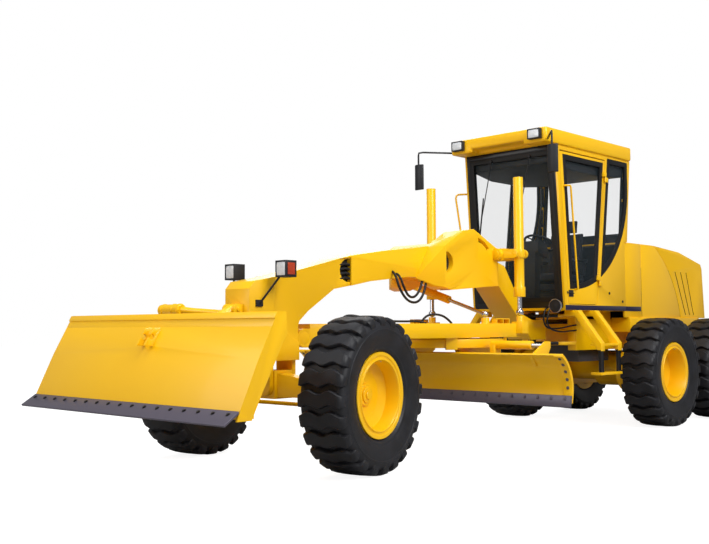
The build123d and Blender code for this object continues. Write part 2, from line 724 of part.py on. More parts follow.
# Yoke between the saddle's pin and the tube's trunnions
with BuildPart() as swing_yoke:
    rod(*across_swing(on_swing(0.0), swing_yoke_half), swing_pin_radius + 12.0)
    for x0 in (swing_x - swing_yoke_half, swing_x + swing_yoke_half - swing_yoke_plate):
        with BuildSketch(Plane.YZ.offset(x0)) as plate:
            with Locations(on_swing(swing_yoke_length / 2)[1:]):
                SlotCenterToCenter(swing_yoke_length, 2 * swing_yoke_radius, rotation=swing_slope)
        extrude(plate.sketch, amount=swing_yoke_plate)
    rod(
        *across_swing(on_swing(0.0), swing_yoke_half + 1.0),
        swing_pin_radius + running_gap, Mode.SUBTRACT,
    )
    rod(
        *across_swing(swing_trunnion, swing_yoke_half + 1.0),
        swing_trunnion_radius + running_gap, Mode.SUBTRACT,
    )
save(swing_yoke, "swing_yoke")
with BuildPart() as swing_tube:
    rod(on_swing(swing_tube_start), on_swing(swing_tube_length), swing_tube_radius)
    rod(*across_swing(swing_trunnion, swing_yoke_half), swing_trunnion_radius)
    rod(
        on_swing(swing_tube_start + 12.0), on_swing(swing_tube_length - 34.0),
        swing_bore_radius, Mode.SUBTRACT,
    )
    rod(
        on_swing(swing_tube_length - 40.0), on_swing(swing_tube_length),
        swing_rod_radius + slide_gap, Mode.SUBTRACT,
    )
save(swing_tube, "swing_tube")
with BuildPart() as swing_rod:
    rod(on_swing(swing_piston[0]), on_swing(swing_length), swing_rod_radius)
    rod(on_swing(swing_piston[0]), on_swing(swing_piston[1]), swing_bore_radius - slide_gap)
    with Locations(on_swing(swing_length)):
        Sphere(swing_ball_radius)
save(swing_rod, "swing_rod")

# Dozer blade
dozer_face = [(4370.0, 1370.0), (4560.0, 1020.0), (4730.0, 660.0)]
side_profile = [
    (4370.0, 1370.0), (4560.0, 1020.0), (4760.0, 587.0), (4620.0, 587.0), (4528.0, 766.0),
    (4453.0, 898.0), (4317.0, 1147.0), (4275.0, 1209.0), (4290.0, 1370.0),
]
with BuildPart() as dozer_blade:
    face_profile = dozer_face + [(x - 18.0, z - 8.0) for x, z in reversed(dozer_face)]
    prism_y(face_profile, -dozer_half, dozer_half)
    for y0 in (-dozer_half, -880.0, -500.0, 500.0 - dozer_plate, 880.0 - dozer_plate, dozer_half - dozer_plate):
        prism_y(side_profile, y0, y0 + dozer_plate)
    prism_y(
        [(4290.0, 1370.0), (4370.0, 1370.0), (4430.0, 1260.0), (4350.0, 1220.0), (4290.0, 1290.0)],
        -dozer_half, dozer_half,
    )
    prism_y([(4600.0, 600.0), (4735.0, 600.0), (4735.0, 640.0), (4710.0, 700.0), (4600.0, 660.0)], -dozer_half, dozer_half)
    # ears for the cylinder's rod
    for y0 in (-85.0, 60.0):
        prism_y(
            [(4360.0, 1000.0), (4370.0, 1060.0), (4470.0, 1180.0), (4560.0, 1000.0), (4600.0, 900.0), (4430.0, 950.0)],
            y0, y0 + 25.0,
        )
    rod(
        (dozer_cylinder_eye[0], -90.0, dozer_cylinder_eye[1]),
        (dozer_cylinder_eye[0], 90.0, dozer_cylinder_eye[1]), dozer_pin_radius,
    )
    # tow bracket on the front face
    for y0 in (-70.0, 45.0):
        prism_y([(4430.0, 1255.0), (4500.0, 1255.0), (4590.0, 1110.0), (4500.0, 1100.0)], y0, y0 + 25.0)
    rod((4525.0, -80.0, 1180.0), (4525.0, 80.0, 1180.0), 25.0, Mode.SUBTRACT)
save(dozer_blade, "dozer_blade")

with BuildPart() as dozer_edge:
    prism_y([(4736.0, 662.0), (4876.0, 572.0), (4864.0, 556.0), (4736.0, 640.0)], -dozer_half, dozer_half)
save(dozer_edge, "dozer_edge")

with BuildPart() as dozer_frame:
    for side in (1, -1):
        plan = [(dozer_pivot[0] - 40.0, side * 170.0), (dozer_pivot[0] - 40.0, side * 220.0),
                (4520.0, side * 560.0), (4520.0, side * 470.0), (3720.0, side * 170.0)]
        prism_z(plan, dozer_pivot[1] - 60.0, dozer_pivot[1] + 60.0)
        y_a, y_b = sorted((side * 170.0, side * 220.0))
        rod((dozer_pivot[0], y_a, dozer_pivot[1]), (dozer_pivot[0], y_b, dozer_pivot[1]), 60.0)
        rod(
            (dozer_pivot[0], y_a - 5.0, dozer_pivot[1]), (dozer_pivot[0], y_b + 5.0, dozer_pivot[1]),
            25.0 + running_gap, Mode.SUBTRACT,
        )
    rod((4200.0, -440.0, dozer_pivot[1]), (4200.0, 440.0, dozer_pivot[1]), 55.0)
    prism_y(
        [(4300.0, 1500.0), (4317.0 - 0.35, 1147.0), (4453.0 - 0.35, 898.0), (4528.0 - 0.35, 766.0), (4640.0, 550.0), (4900.0, 1500.0)],
        -700.0, 700.0, Mode.SUBTRACT,
    )
save(dozer_frame, "dozer_frame")

dozer_start = Vector(dozer_cylinder_base[0], 0, dozer_cylinder_base[1])
dozer_end = Vector(dozer_cylinder_eye[0], 0, dozer_cylinder_eye[1])
dozer_unit = (dozer_end - dozer_start).normalized()
dozer_length = (dozer_end - dozer_start).length


def on_dozer(distance):
    """A point along the dozer cylinder's axis, from its base pin."""
    return tuple(dozer_start + dozer_unit * distance)


with BuildPart() as dozer_tube:
    rod(on_dozer(0.0), on_dozer(dozer_tube_length), 52.0)
    rod((dozer_start.X, -55.0, dozer_start.Z), (dozer_start.X, 55.0, dozer_start.Z), 45.0)
    rod(on_dozer(70.0), on_dozer(dozer_tube_length - 40.0), 40.0, Mode.SUBTRACT)
    rod(on_dozer(dozer_tube_length - 60.0), on_dozer(dozer_tube_length), 25.0 + slide_gap, Mode.SUBTRACT)
    rod((dozer_start.X, -60.0, dozer_start.Z), (dozer_start.X, 60.0, dozer_start.Z), 20.0 + running_gap, Mode.SUBTRACT)
save(dozer_tube, "dozer_tube")
with BuildPart() as dozer_rod:
    rod(on_dozer(dozer_tube_length - 390.0), on_dozer(dozer_length - 20.0), 25.0)
    rod(on_dozer(dozer_tube_length - 390.0), on_dozer(dozer_tube_length - 340.0), 40.0 - slide_gap)
    rod((dozer_end.X, -55.0, dozer_end.Z), (dozer_end.X, 55.0, dozer_end.Z), 42.0)
    rod(
        (dozer_end.X, -60.0, dozer_end.Z), (dozer_end.X, 60.0, dozer_end.Z),
        dozer_pin_radius + open_pivot_gap, Mode.SUBTRACT,
    )
save(dozer_rod, "dozer_rod")

# Headlamps on stalks from the head's sides
with BuildPart() as headlamps:
    for side in (1, -1):
        y_a, y_b = sorted((side * 290.0, side * 430.0))
        block(3240.0, 3370.0, y_a, y_b, 1700.0, 1850.0)
        rod((3455.0, side * (frame_half + 12.0), 1470.0), (3340.0, side * 330.0, 1720.0), 10.0)
        y_a, y_b = sorted((side * (frame_half + seat_gap), side * (frame_half + 14.0)))
        block(3420.0, 3500.0, y_a, y_b, 1440.0, 1500.0)
save(headlamps, "headlamps")

# Rear frame: rails, hitch fork and tow hitch
with BuildPart() as rear_frame:
    for side in (1, -1):
        y_a, y_b = sorted((side * rail_y[0], side * rail_y[1]))
        block(rear_face_x, -1500.0, y_a, y_b, rail_z[0], rail_z[1])
    for x0 in (-1600.0, -2700.0, rear_face_x):
        block(x0, x0 + 60.0, -rail_y[0], rail_y[0], rail_z[0] + 60.0, rail_z[1] - 60.0)
    fork_plan = [(hitch_x, 110.0), (-1500.0, rail_y[1]), (-1700.0, rail_y[1])]
    for z0 in fork_z:
        prism_z(mirrored(fork_plan), z0, z0 + fork_plate)
        rod((hitch_x, 0, z0), (hitch_x, 0, z0 + fork_plate), 110.0)
    block(-1700.0, -1500.0, -rail_y[1], rail_y[1], rail_z[1], fork_z[1] + fork_plate)
    rod((hitch_x, 0, fork_z[0] - 15.0), (hitch_x, 0, fork_z[1] + fork_plate + 15.0), hitch_pin_radius)
    # tow hitch at the rear
    block(rear_face_x - 30.0, rear_face_x + 1.0, -450.0, 450.0, 800.0, 1340.0)
    for z0 in (870.0, 990.0):
        block(-4820.0, rear_face_x - 20.0, -60.0, 60.0, z0, z0 + 30.0)
        rod((-4820.0, 0, z0), (-4820.0, 0, z0 + 30.0), 60.0)
    rod((-4820.0, 0, 860.0), (-4820.0, 0, 1030.0), 21.0, Mode.SUBTRACT)
save(rear_frame, "rear_frame")

tandem_x = front_axle_x - wheelbase
with BuildPart() as rear_axle:
    rod((tandem_x, -case_y[0], wheel_radius), (tandem_x, case_y[0], wheel_radius), axle_housing_radius)
    rod((tandem_x, -180.0, wheel_radius), (tandem_x, 180.0, wheel_radius), 240.0)
    for side in (1, -1):
        y_a, y_b = sorted((side * rail_y[0], side * rail_y[1]))
        block(tandem_x - 150.0, tandem_x + 150.0, y_a, y_b, wheel_radius, rail_z[0])
save(rear_axle, "rear_axle")

with BuildPart() as tandem_cases:
    for side in (1, -1):
        with BuildSketch(Plane.XZ.offset(-side * case_y[0])) as case_side:
            with Locations((tandem_x, wheel_radius)):
                SlotOverall(2 * case_half_length, 2 * case_half_height)
        extrude(case_side.sketch, amount=-side * (case_y[1] - case_y[0]))
        for x in (tandem_x - tandem_half, tandem_x + tandem_half):
            rod(
                (x, side * (case_y[1] - 5.0), wheel_radius),
                (x, side * (track_half + disc_outer_y - 0.5), wheel_radius), spindle_radius,
            )
            rod((x, side * (case_y[1] - 5.0), wheel_radius), (x, side * (case_y[1] + 60.0), wheel_radius), 150.0)
save(tandem_cases, "tandem_cases")

with BuildPart() as engine:
    block(-4100.0, -2760.0, -270.0, 270.0, rail_z[1] - 150.0, 2120.0)
    for x0 in (-4000.0, -2950.0):
        block(x0, x0 + 120.0, -rail_y[1] + 20.0, rail_y[1] - 20.0, rail_z[1], rail_z[1] + 60.0)
save(engine, "engine")

with BuildPart() as transmission:
    block(-2500.0, -1750.0, -rail_y[0] + seat_gap, rail_y[0] - seat_gap, 800.0, 1300.0)
save(transmission, "transmission")

# Hood over the engine, a shell open below and towards the cab
hood_profile = [
    (cab_rear_x - seat_gap, hood_bottom_z), (cab_rear_x - seat_gap, hood_top_z), (-3080.0, hood_top_z),
    (-3843.0, 2278.0), (-4528.0, 2136.0), (-4567.0, 2073.0), (-4633.0, hood_bottom_z),
]
with BuildPart() as hood:
    prism_y(hood_profile, -hood_half, hood_half)
    prism_y(
        [
            (cab_rear_x + 10.0, hood_bottom_z - 10.0), (cab_rear_x + 10.0, hood_top_z - hood_wall),
            (-3080.0, hood_top_z - hood_wall), (-3843.0, 2278.0 - hood_wall), (-4515.0, 2136.0 - hood_wall),
            (-4547.0, 2073.0), (-4612.0, hood_bottom_z - 10.0),
        ],
        -hood_half + hood_wall, hood_half - hood_wall, Mode.SUBTRACT,
    )
    block(-4700.0, -4500.0, -480.0, 480.0, 1480.0, 2000.0, Mode.SUBTRACT)
save(hood, "hood")

with BuildPart() as rear_grille:
    prism_y(
        [(-4574.3, 2000.0 - seat_gap), (-4622.0, 1480.0 + seat_gap), (-4600.0, 1480.0 + seat_gap), (-4552.0, 2000.0 - seat_gap)],
        -480.0 + seat_gap, 480.0 - seat_gap,
    )
save(rear_grille, "rear_grille")

with BuildPart() as side_boxes:
    for side in (1, -1):
        y_a, y_b = sorted((side * (rail_y[1] + seat_gap), side * cab_half))
        block(-4400.0, cab_rear_x - 110.0, y_a, y_b, box_bottom_z, hood_bottom_z - seat_gap)
save(side_boxes, "side_boxes")

with BuildPart() as exhaust:
    rod((exhaust_x, exhaust_y, hood_top_z + seat_gap), (exhaust_x, exhaust_y, 2470.0), 55.0)
    rod((exhaust_x, exhaust_y, hood_top_z + 20.0), (exhaust_x, exhaust_y, 2480.0), 45.0, Mode.SUBTRACT)
save(exhaust, "exhaust")

# Cab
cab_outline = [
    (cab_front_foot_x, cab_floor_z), (cab_front_top_x, cab_top_z), (cab_rear_top_x, cab_top_z),
    (-2340.0, hood_top_z + 1.0), (cab_rear_x, hood_top_z + 1.0), (cab_rear_x, cab_floor_z),
]
cab_inside = [
    (cab_front_foot_x - cab_wall - 4.0, cab_floor_z + cab_wall), (cab_front_top_x - cab_wall, cab_top_z + 1.0),
    (cab_rear_top_x + cab_wall, cab_top_z + 1.0), (-2300.0, hood_top_z + 1.0),
    (cab_rear_x + cab_wall - 20.0, hood_top_z - 40.0), (cab_rear_x + cab_wall, cab_floor_z + cab_wall),
]
door_opening = [(-905.0, 1510.0), (-760.0, 3340.0), (-1817.0, 3340.0), (-1555.0, 1510.0)]
hinge_foot = Vector(door_opening[3][0], 0, door_opening[3][1])
hinge_unit = (Vector(door_opening[2][0], 0, door_opening[2][1]) - hinge_foot).normalized()
hinge_along = (240.0, 1560.0)
hinge_length = 60.0
hinge_radius = 12.0
hinge_pin_radius = 6.0
hinge_reach = 50.0
hinge_out = 21.0
rear_side_window = [
    (-1893.0, 3340.0), (-1700.0, 1990.0), (-1977.0, 2110.0), (-2180.0, 2390.0), (-2262.0, 2530.0), (-2350.0, 3340.0),
]


def on_hinge(along, side):
    """A point by its distance up the door's hinge line."""
    point = hinge_foot + hinge_unit * along
    return (point.X, side * (cab_half + hinge_out), point.Z)


def hinge_leaf(along, side, ahead):
    """One half of a hinge: a barrel on the hinge line and its leaf, ahead of or behind it."""
    low = on_hinge(along, side)
    high = on_hinge(along + hinge_length, side)
    rod(low, high, hinge_radius)
    y_a, y_b = sorted((side * (cab_half - 2.0), side * (cab_half + hinge_out + hinge_radius)))
    across = (ahead * hinge_unit.Z, -ahead * hinge_unit.X)
    prism_y(
        [
            (low[0], low[2]), (low[0] + across[0], low[2] + across[1]),
            (high[0] + across[0], high[2] + across[1]), (high[0], high[2]),
        ],
        y_a, y_b,
    )


with BuildPart() as cab_body:
    prism_y(cab_outline, -cab_half, cab_half)
    prism_y(cab_inside, -cab_half + cab_wall, cab_half - cab_wall, Mode.SUBTRACT)
    prism_y(door_opening, -cab_half - 1.0, cab_half + 1.0, Mode.SUBTRACT)
    prism_y(rear_side_window, -cab_half - 1.0, cab_half + 1.0, Mode.SUBTRACT)
    block(-900.0, -600.0, -cab_half + post_width, cab_half - post_width, 1540.0, 3340.0, Mode.SUBTRACT)
    block(-2500.0, -2300.0, -cab_half + post_width, cab_half - post_width, 2400.0, 3340.0, Mode.SUBTRACT)
    for side in (1, -1):
        for along in hinge_along:
            hinge_leaf(along, side, -hinge_reach)
            rod(on_hinge(along, side), on_hinge(along + 2 * hinge_length, side), hinge_pin_radius)
    # feet on the rails
    for side in (1, -1):
        for x0 in (-1640.0, -2260.0):
            y_a, y_b = sorted((side * rail_y[0], side * rail_y[1]))
            block(x0 - 100.0 if x0 < -2000 else x0, x0 + 100.0, y_a, y_b, rail_z[1] + (60.0 if x0 > -2000 else 0.0), cab_floor_z)
save(cab_body, "cab_body")

with BuildPart() as cab_roof:
    block(roof_x[0], roof_x[1], -roof_half, roof_half, cab_top_z, roof_top_z)
    fillet(cab_roof.edges().filter_by(Axis.Z), 40.0)
save(cab_roof, "cab_roof")

lean = (cab_front_top_x - cab_front_foot_x) / (cab_top_z - cab_floor_z)


def front_x(z):
    """The cab's front line at a height."""
    return cab_front_foot_x + lean * (z - cab_floor_z)


with BuildPart() as cab_glass:
    prism_y(
        [
            (front_x(1541.0) - 20.0, 1540.0 + seat_gap), (front_x(3339.0) - 20.0, 3340.0 - seat_gap),
            (front_x(3339.0) - 28.0, 3340.0 - seat_gap), (front_x(1541.0) - 28.0, 1540.0 + seat_gap),
        ],
        -cab_half + post_width + seat_gap, cab_half - post_width - seat_gap,
    )
    prism_y(
        [(-2362.0, 2400.0 + seat_gap), (-2421.0, 3340.0 - seat_gap), (-2413.0, 3340.0 - seat_gap), (-2354.0, 2400.0 + seat_gap)],
        -cab_half + post_width + seat_gap, cab_half - post_width - seat_gap,
    )
    for side in (1, -1):
        with BuildSketch(Plane.XZ.offset(-side * (cab_half - 20.0))) as pane:
            with BuildLine():
                Polyline(*rear_side_window, close=True)
            make_face()
            offset(amount=-seat_gap)
        extrude(pane.sketch, amount=side * glass_thickness)
save(cab_glass, "cab_glass")

# Doors, hung on the slanted rear post
door_window = [(-975.0, 1760.0), (-850.0, 3270.0), (-1735.0, 3270.0), (-1555.0, 1960.0), (-1400.0, 1840.0)]
for side, name in ((1, "left"), (-1, "right")):
    y_in, y_out = side * (cab_half - cab_wall), side * cab_half
    y_a, y_b = sorted((y_in, y_out))
    with BuildPart() as door:
        with BuildSketch(Plane.XZ.offset(-y_a)) as leaf:
            with BuildLine():
                Polyline(*door_opening, close=True)
            make_face()
            offset(amount=-door_gap)
        extrude(leaf.sketch, amount=y_a - y_b)
        block(-2000.0, -600.0, y_a - 1.0, y_b + 1.0, 3340.0 - door_top_gap, 3341.0, Mode.SUBTRACT)
        prism_y(door_window, y_a - 1.0, y_b + 1.0, Mode.SUBTRACT)
        for along in hinge_along:
            hinge_leaf(along + hinge_length + seat_gap, side, hinge_reach)
            rod(
                on_hinge(along + hinge_length, side), on_hinge(along + 2 * hinge_length + 1.0, side),
                hinge_pin_radius + running_gap, Mode.SUBTRACT,
            )
    save(door, f"door_{name}")
    with BuildPart() as door_glass:
        with BuildSketch(Plane.XZ.offset(-side * (cab_half - 20.0))) as pane:
            with BuildLine():
                Polyline(*door_window, close=True)
            make_face()
            offset(amount=-seat_gap)
        extrude(pane.sketch, amount=side * glass_thickness)
    save(door_glass, f"door_glass_{name}")

# Seat and controls
with BuildPart() as operator_seat:
    block(-2000.0, -1500.0, -250.0, 250.0, 1800.0, 1930.0)
    prism_y([(-1940.0, 1930.0), (-1830.0, 1930.0), (-1960.0, 2620.0), (-2060.0, 2620.0)], -240.0, 240.0)
    block(-1900.0, -1600.0, -180.0, 180.0, cab_floor_z + cab_wall + seat_gap, 1800.0)
save(operator_seat, "operator_seat")

with BuildPart() as steering_console:
    prism_y(
        [(-1000.0, cab_floor_z + cab_wall + seat_gap), (-1180.0, cab_floor_z + cab_wall + seat_gap), (-1250.0, 2150.0), (-1020.0, 2250.0)],
        -160.0, 160.0,
    )
save(steering_console, "steering_console")

# Ladders
with BuildPart() as ladders:
    for side in (1, -1):
        for x0 in (-1075.0, -1475.0):
            with BuildSketch(Plane.YZ.offset(x0)) as stile:
                with BuildLine():
                    Polyline(
                        (side * 560.0, cab_floor_z - seat_gap), (side * 640.0, cab_floor_z - seat_gap),
                        (side * 740.0, cab_floor_z - seat_gap), (side * 1040.0, 1050.0),
                        (side * 1040.0, 960.0), (side * 1000.0, 960.0), (side * 700.0, 1370.0),
                        (side * 560.0, 1370.0), close=True,
                    )
                make_face()
            extrude(stile.sketch, amount=90.0)
            y_a, y_b = sorted((side * 1000.0, side * 1030.0))
            block(x0 + 10.0, x0 + 80.0, y_a, y_b, 690.0, 970.0)
        y_a, y_b = sorted((side * 900.0, side * 1040.0))
        block(-1475.0, -985.0, y_a, y_b, 1020.0, 1045.0)
        block(-1475.0, -985.0, y_a, y_b, 680.0, 710.0)
save(ladders, "ladders")

with BuildPart() as mirrors:
    for side in (1, -1):
        y_a, y_b = sorted((side * 900.0, side * 1040.0))
        block(-150.0, -100.0, y_a, y_b, 2960.0, 3280.0)
        rod((-480.0, side * 690.0, 3430.0), (-125.0, side * 970.0, 3430.0), 12.0)
        rod((-125.0, side * 970.0, 3442.0), (-125.0, side * 970.0, 3250.0), 12.0)
    block(roof_x[0], roof_x[1] + seat_gap, -roof_half, roof_half, 3300.0, 3600.0, Mode.SUBTRACT)
save(mirrors, "mirrors")

with BuildPart() as cab_lamps:
    for y in (-560.0, 560.0):
        block(roof_x[1] + seat_gap, roof_x[1] + 60.0, y - 85.0, y + 85.0, 3430.0, 3550.0)
save(cab_lamps, "cab_lamps")
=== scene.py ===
"""A motor grader dressed for a studio picture: paint, tyres, glass, hoses, lamps and fittings.

Every size is in metres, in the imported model's own frame: +X forward, +Y to the machine's left,
+Z up, with the origin on the ground under the middle of the machine.
"""

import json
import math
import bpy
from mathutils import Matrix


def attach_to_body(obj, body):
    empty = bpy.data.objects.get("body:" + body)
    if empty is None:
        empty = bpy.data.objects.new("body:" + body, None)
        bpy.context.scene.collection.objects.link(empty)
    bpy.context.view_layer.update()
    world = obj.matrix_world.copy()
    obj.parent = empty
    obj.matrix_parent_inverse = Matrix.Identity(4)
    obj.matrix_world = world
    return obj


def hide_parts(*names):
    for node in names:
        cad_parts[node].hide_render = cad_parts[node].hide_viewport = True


bl_info = {
    "name": "Motor Grader Dressing",
    "version": (1, 0, 0),
    "blender": (4, 5, 0),
    "location": "View3D > Sidebar > Grader",
    "description": "Builds the finish and the small parts of an articulated motor grader",
    "category": "Object",
}

import bmesh
import bpy
from bpy.props import FloatProperty, FloatVectorProperty, IntProperty, PointerProperty
from mathutils import Matrix, Vector

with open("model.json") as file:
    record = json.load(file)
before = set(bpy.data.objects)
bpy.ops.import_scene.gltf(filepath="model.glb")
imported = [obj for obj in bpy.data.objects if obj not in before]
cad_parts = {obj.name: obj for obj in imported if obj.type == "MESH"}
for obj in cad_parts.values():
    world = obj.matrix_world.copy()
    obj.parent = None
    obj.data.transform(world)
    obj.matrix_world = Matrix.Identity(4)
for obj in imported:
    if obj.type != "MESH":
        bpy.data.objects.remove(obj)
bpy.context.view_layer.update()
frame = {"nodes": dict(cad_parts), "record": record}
nodes = frame["nodes"]
body_of_node = {
    node: body
    for body, members in frame["record"]["behaviour"]["bodies"].items()
    for node in members
}

# The camera that took the photograph, from a fit to the wheels and the blade
CAMERA_PLACE = Vector((9.13396, 6.82910, 1.24603))
CAMERA_AZIMUTH = math.radians(43.940)
CAMERA_ELEVATION = math.radians(-3.277)
CAMERA_ROLL = math.radians(-0.297)
CAMERA_LENS = 49.39
CAMERA_SENSOR = 36.0

# Sign of Y and name of each side, and the wheels by their joints' names
SIDES = ((1, "left"), (-1, "right"))
WHEELS = ("front_left", "front_right", "mid_left", "mid_right", "rear_left", "rear_right")

# Gloss that all paint, rubber and plastic share
PLAIN_SPECULAR = 0.36
COAT_ROUGHNESS = 0.12
# Half width of the cab up to its black lining
CAB_LINING = 0.6435


def linear(red, green, blue, alpha=1.0):
    """A colour picked on a 0 to 255 screen scale, as the linear values that shaders take."""
    channels = [value / 255.0 for value in (red, green, blue)]
    curve = [v / 12.92 if v <= 0.04045 else ((v + 0.055) / 1.055) ** 2.4 for v in channels]
    return (*curve, alpha)


class GraderFinish(bpy.types.PropertyGroup):
    """Colours and gloss of the machine's surfaces."""

    body_colour: FloatVectorProperty(
        name="Body paint", description="Colour of the main paint",
        subtype="COLOR", size=4, min=0.0, max=1.0, default=linear(250, 194, 3),
    )
    trim_colour: FloatVectorProperty(
        name="Sill paint", description="Colour of the dark strip under the cab",
        subtype="COLOR", size=4, min=0.0, max=1.0, default=linear(24, 22, 58),
    )
    rubber_colour: FloatVectorProperty(
        name="Rubber", description="Colour of the tyres",
        subtype="COLOR", size=4, min=0.0, max=1.0, default=linear(20, 20, 23),
    )
    edge_colour: FloatVectorProperty(
        name="Wear edge", description="Colour of the bolted cutting edges",
        subtype="COLOR", size=4, min=0.0, max=1.0, default=linear(74, 72, 84),
    )
    paint_roughness: FloatProperty(
        name="Paint roughness", description="Roughness of the main paint",
        subtype="FACTOR", min=0.0, max=1.0, default=0.34,
    )


class GraderSizes(bpy.types.PropertyGroup):
    """Sizes of the dressing that a user may change."""

    edge_round: FloatProperty(
        name="Edge rounding", description="Width of the rounding on welded plate edges",
        subtype="DISTANCE", min=0.0, max=0.02, default=0.005,
    )
    lug_count: IntProperty(
        name="Tyre lugs", description="Lugs around each side of a tyre", min=8, max=40, default=24,
    )


def finish_settings():
    return bpy.context.scene.grader_finish


def size_settings():
    return bpy.context.scene.grader_sizes


# Shared shader groups


def new_group(name, inputs, outputs):
    """An empty shader group with its sockets, and its input and output nodes."""
    group = bpy.data.node_groups.new(name, "ShaderNodeTree")
    for socket, kind, default in inputs:
        item = group.interface.new_socket(name=socket, in_out="INPUT", socket_type=kind)
        item.default_value = default
    for socket, kind in outputs:
        group.interface.new_socket(name=socket, in_out="OUTPUT", socket_type=kind)
    entry = group.nodes.new("NodeGroupInput")
    leave = group.nodes.new("NodeGroupOutput")
    return group, entry, leave


def noise_node(tree, scale, detail):
    """A noise texture in object space, with its scale taken from a socket."""
    place = tree.nodes.new("ShaderNodeTexCoord")
    noise = tree.nodes.new("ShaderNodeTexNoise")
    noise.inputs["Detail"].default_value = detail
    noise.inputs["Roughness"].default_value = 0.55
    tree.links.new(place.outputs["Object"], noise.inputs["Vector"])
    tree.links.new(scale, noise.inputs["Scale"])
    return noise


def math_node(tree, operation, *sources):
    """The result of a Math node that is fed by sockets or numbers."""
    step = tree.nodes.new("ShaderNodeMath")
    step.operation = operation
    for entry, source in zip(step.inputs, sources):
        if isinstance(source, float):
            entry.default_value = source
        else:
            tree.links.new(source, entry)
    return step.outputs["Value"]


def surface_tone_group():
    """Broad, faint changes of tone and gloss over a painted or moulded surface."""
    if "Surface Tone" in bpy.data.node_groups:
        return bpy.data.node_groups["Surface Tone"]
    group, entry, leave = new_group(
        "Surface Tone",
        [
            ("Colour", "NodeSocketColor", (0.8, 0.8, 0.8, 1.0)),
            ("Shade", "NodeSocketColor", (0.5, 0.5, 0.5, 1.0)),
            ("Amount", "NodeSocketFloat", 0.2),
            ("Scale", "NodeSocketFloat", 2.0),
            ("Roughness", "NodeSocketFloat", 0.4),
            ("Roughness Change", "NodeSocketFloat", 0.08),
        ],
        [("Colour", "NodeSocketColor"), ("Roughness", "NodeSocketFloat")],
    )
    noise = noise_node(group, entry.outputs["Scale"], 5.0)
    spread = group.nodes.new("ShaderNodeMapRange")
    spread.inputs["From Min"].default_value = 0.35
    spread.inputs["From Max"].default_value = 0.7
    group.links.new(noise.outputs["Fac"], spread.inputs["Value"])
    share = math_node(group, "MULTIPLY", spread.outputs["Result"], entry.outputs["Amount"])
    mix = group.nodes.new("ShaderNodeMix")
    mix.data_type = "RGBA"
    group.links.new(share, mix.inputs["Factor"])
    group.links.new(entry.outputs["Colour"], mix.inputs["A"])
    group.links.new(entry.outputs["Shade"], mix.inputs["B"])
    group.links.new(mix.outputs["Result"], leave.inputs["Colour"])
    change, plain = entry.outputs["Roughness Change"], entry.outputs["Roughness"]
    rough = math_node(group, "MULTIPLY_ADD", spread.outputs["Result"], change, plain)
    group.links.new(rough, leave.inputs["Roughness"])
    return group


def fine_grain_group():
    """Fine relief of a cast, moulded or sprayed surface, as a normal."""
    if "Fine Grain" in bpy.data.node_groups:
        return bpy.data.node_groups["Fine Grain"]
    group, entry, leave = new_group(
        "Fine Grain",
        [
            ("Scale", "NodeSocketFloat", 120.0),
            ("Strength", "NodeSocketFloat", 0.1),
            ("Distance", "NodeSocketFloat", 0.001),
        ],
        [("Normal", "NodeSocketVector")],
    )
    noise = noise_node(group, entry.outputs["Scale"], 3.0)
    bump = group.nodes.new("ShaderNodeBump")
    group.links.new(noise.outputs["Fac"], bump.inputs["Height"])
    group.links.new(entry.outputs["Strength"], bump.inputs["Strength"])
    group.links.new(entry.outputs["Distance"], bump.inputs["Distance"])
    group.links.new(bump.outputs["Normal"], leave.inputs["Normal"])
    return group


def region_mask_group():
    """One inside a box that reaches as far to the left as to the right, nought outside."""
    if "Region Mask" in bpy.data.node_groups:
        return bpy.data.node_groups["Region Mask"]
    group, entry, leave = new_group(
        "Region Mask",
        [
            ("Low", "NodeSocketVector", (0.0, 0.0, 0.0)),
            ("High", "NodeSocketVector", (1.0, 1.0, 1.0)),
        ],
        [("Mask", "NodeSocketFloat")],
    )
    place = group.nodes.new("ShaderNodeTexCoord")
    axes = group.nodes.new("ShaderNodeSeparateXYZ")
    group.links.new(place.outputs["Object"], axes.inputs["Vector"])
    sideways = math_node(group, "ABSOLUTE", axes.outputs["Y"])
    low = group.nodes.new("ShaderNodeSeparateXYZ")
    high = group.nodes.new("ShaderNodeSeparateXYZ")
    group.links.new(entry.outputs["Low"], low.inputs["Vector"])
    group.links.new(entry.outputs["High"], high.inputs["Vector"])
    mask = None
    for axis, value in (("X", axes.outputs["X"]), ("Y", sideways), ("Z", axes.outputs["Z"])):
        for limit, operation in ((low, "GREATER_THAN"), (high, "LESS_THAN")):
            test = math_node(group, operation, value, limit.outputs[axis])
            mask = test if mask is None else math_node(group, "MULTIPLY", mask, test)
    group.links.new(mask, leave.inputs["Mask"])
    return group


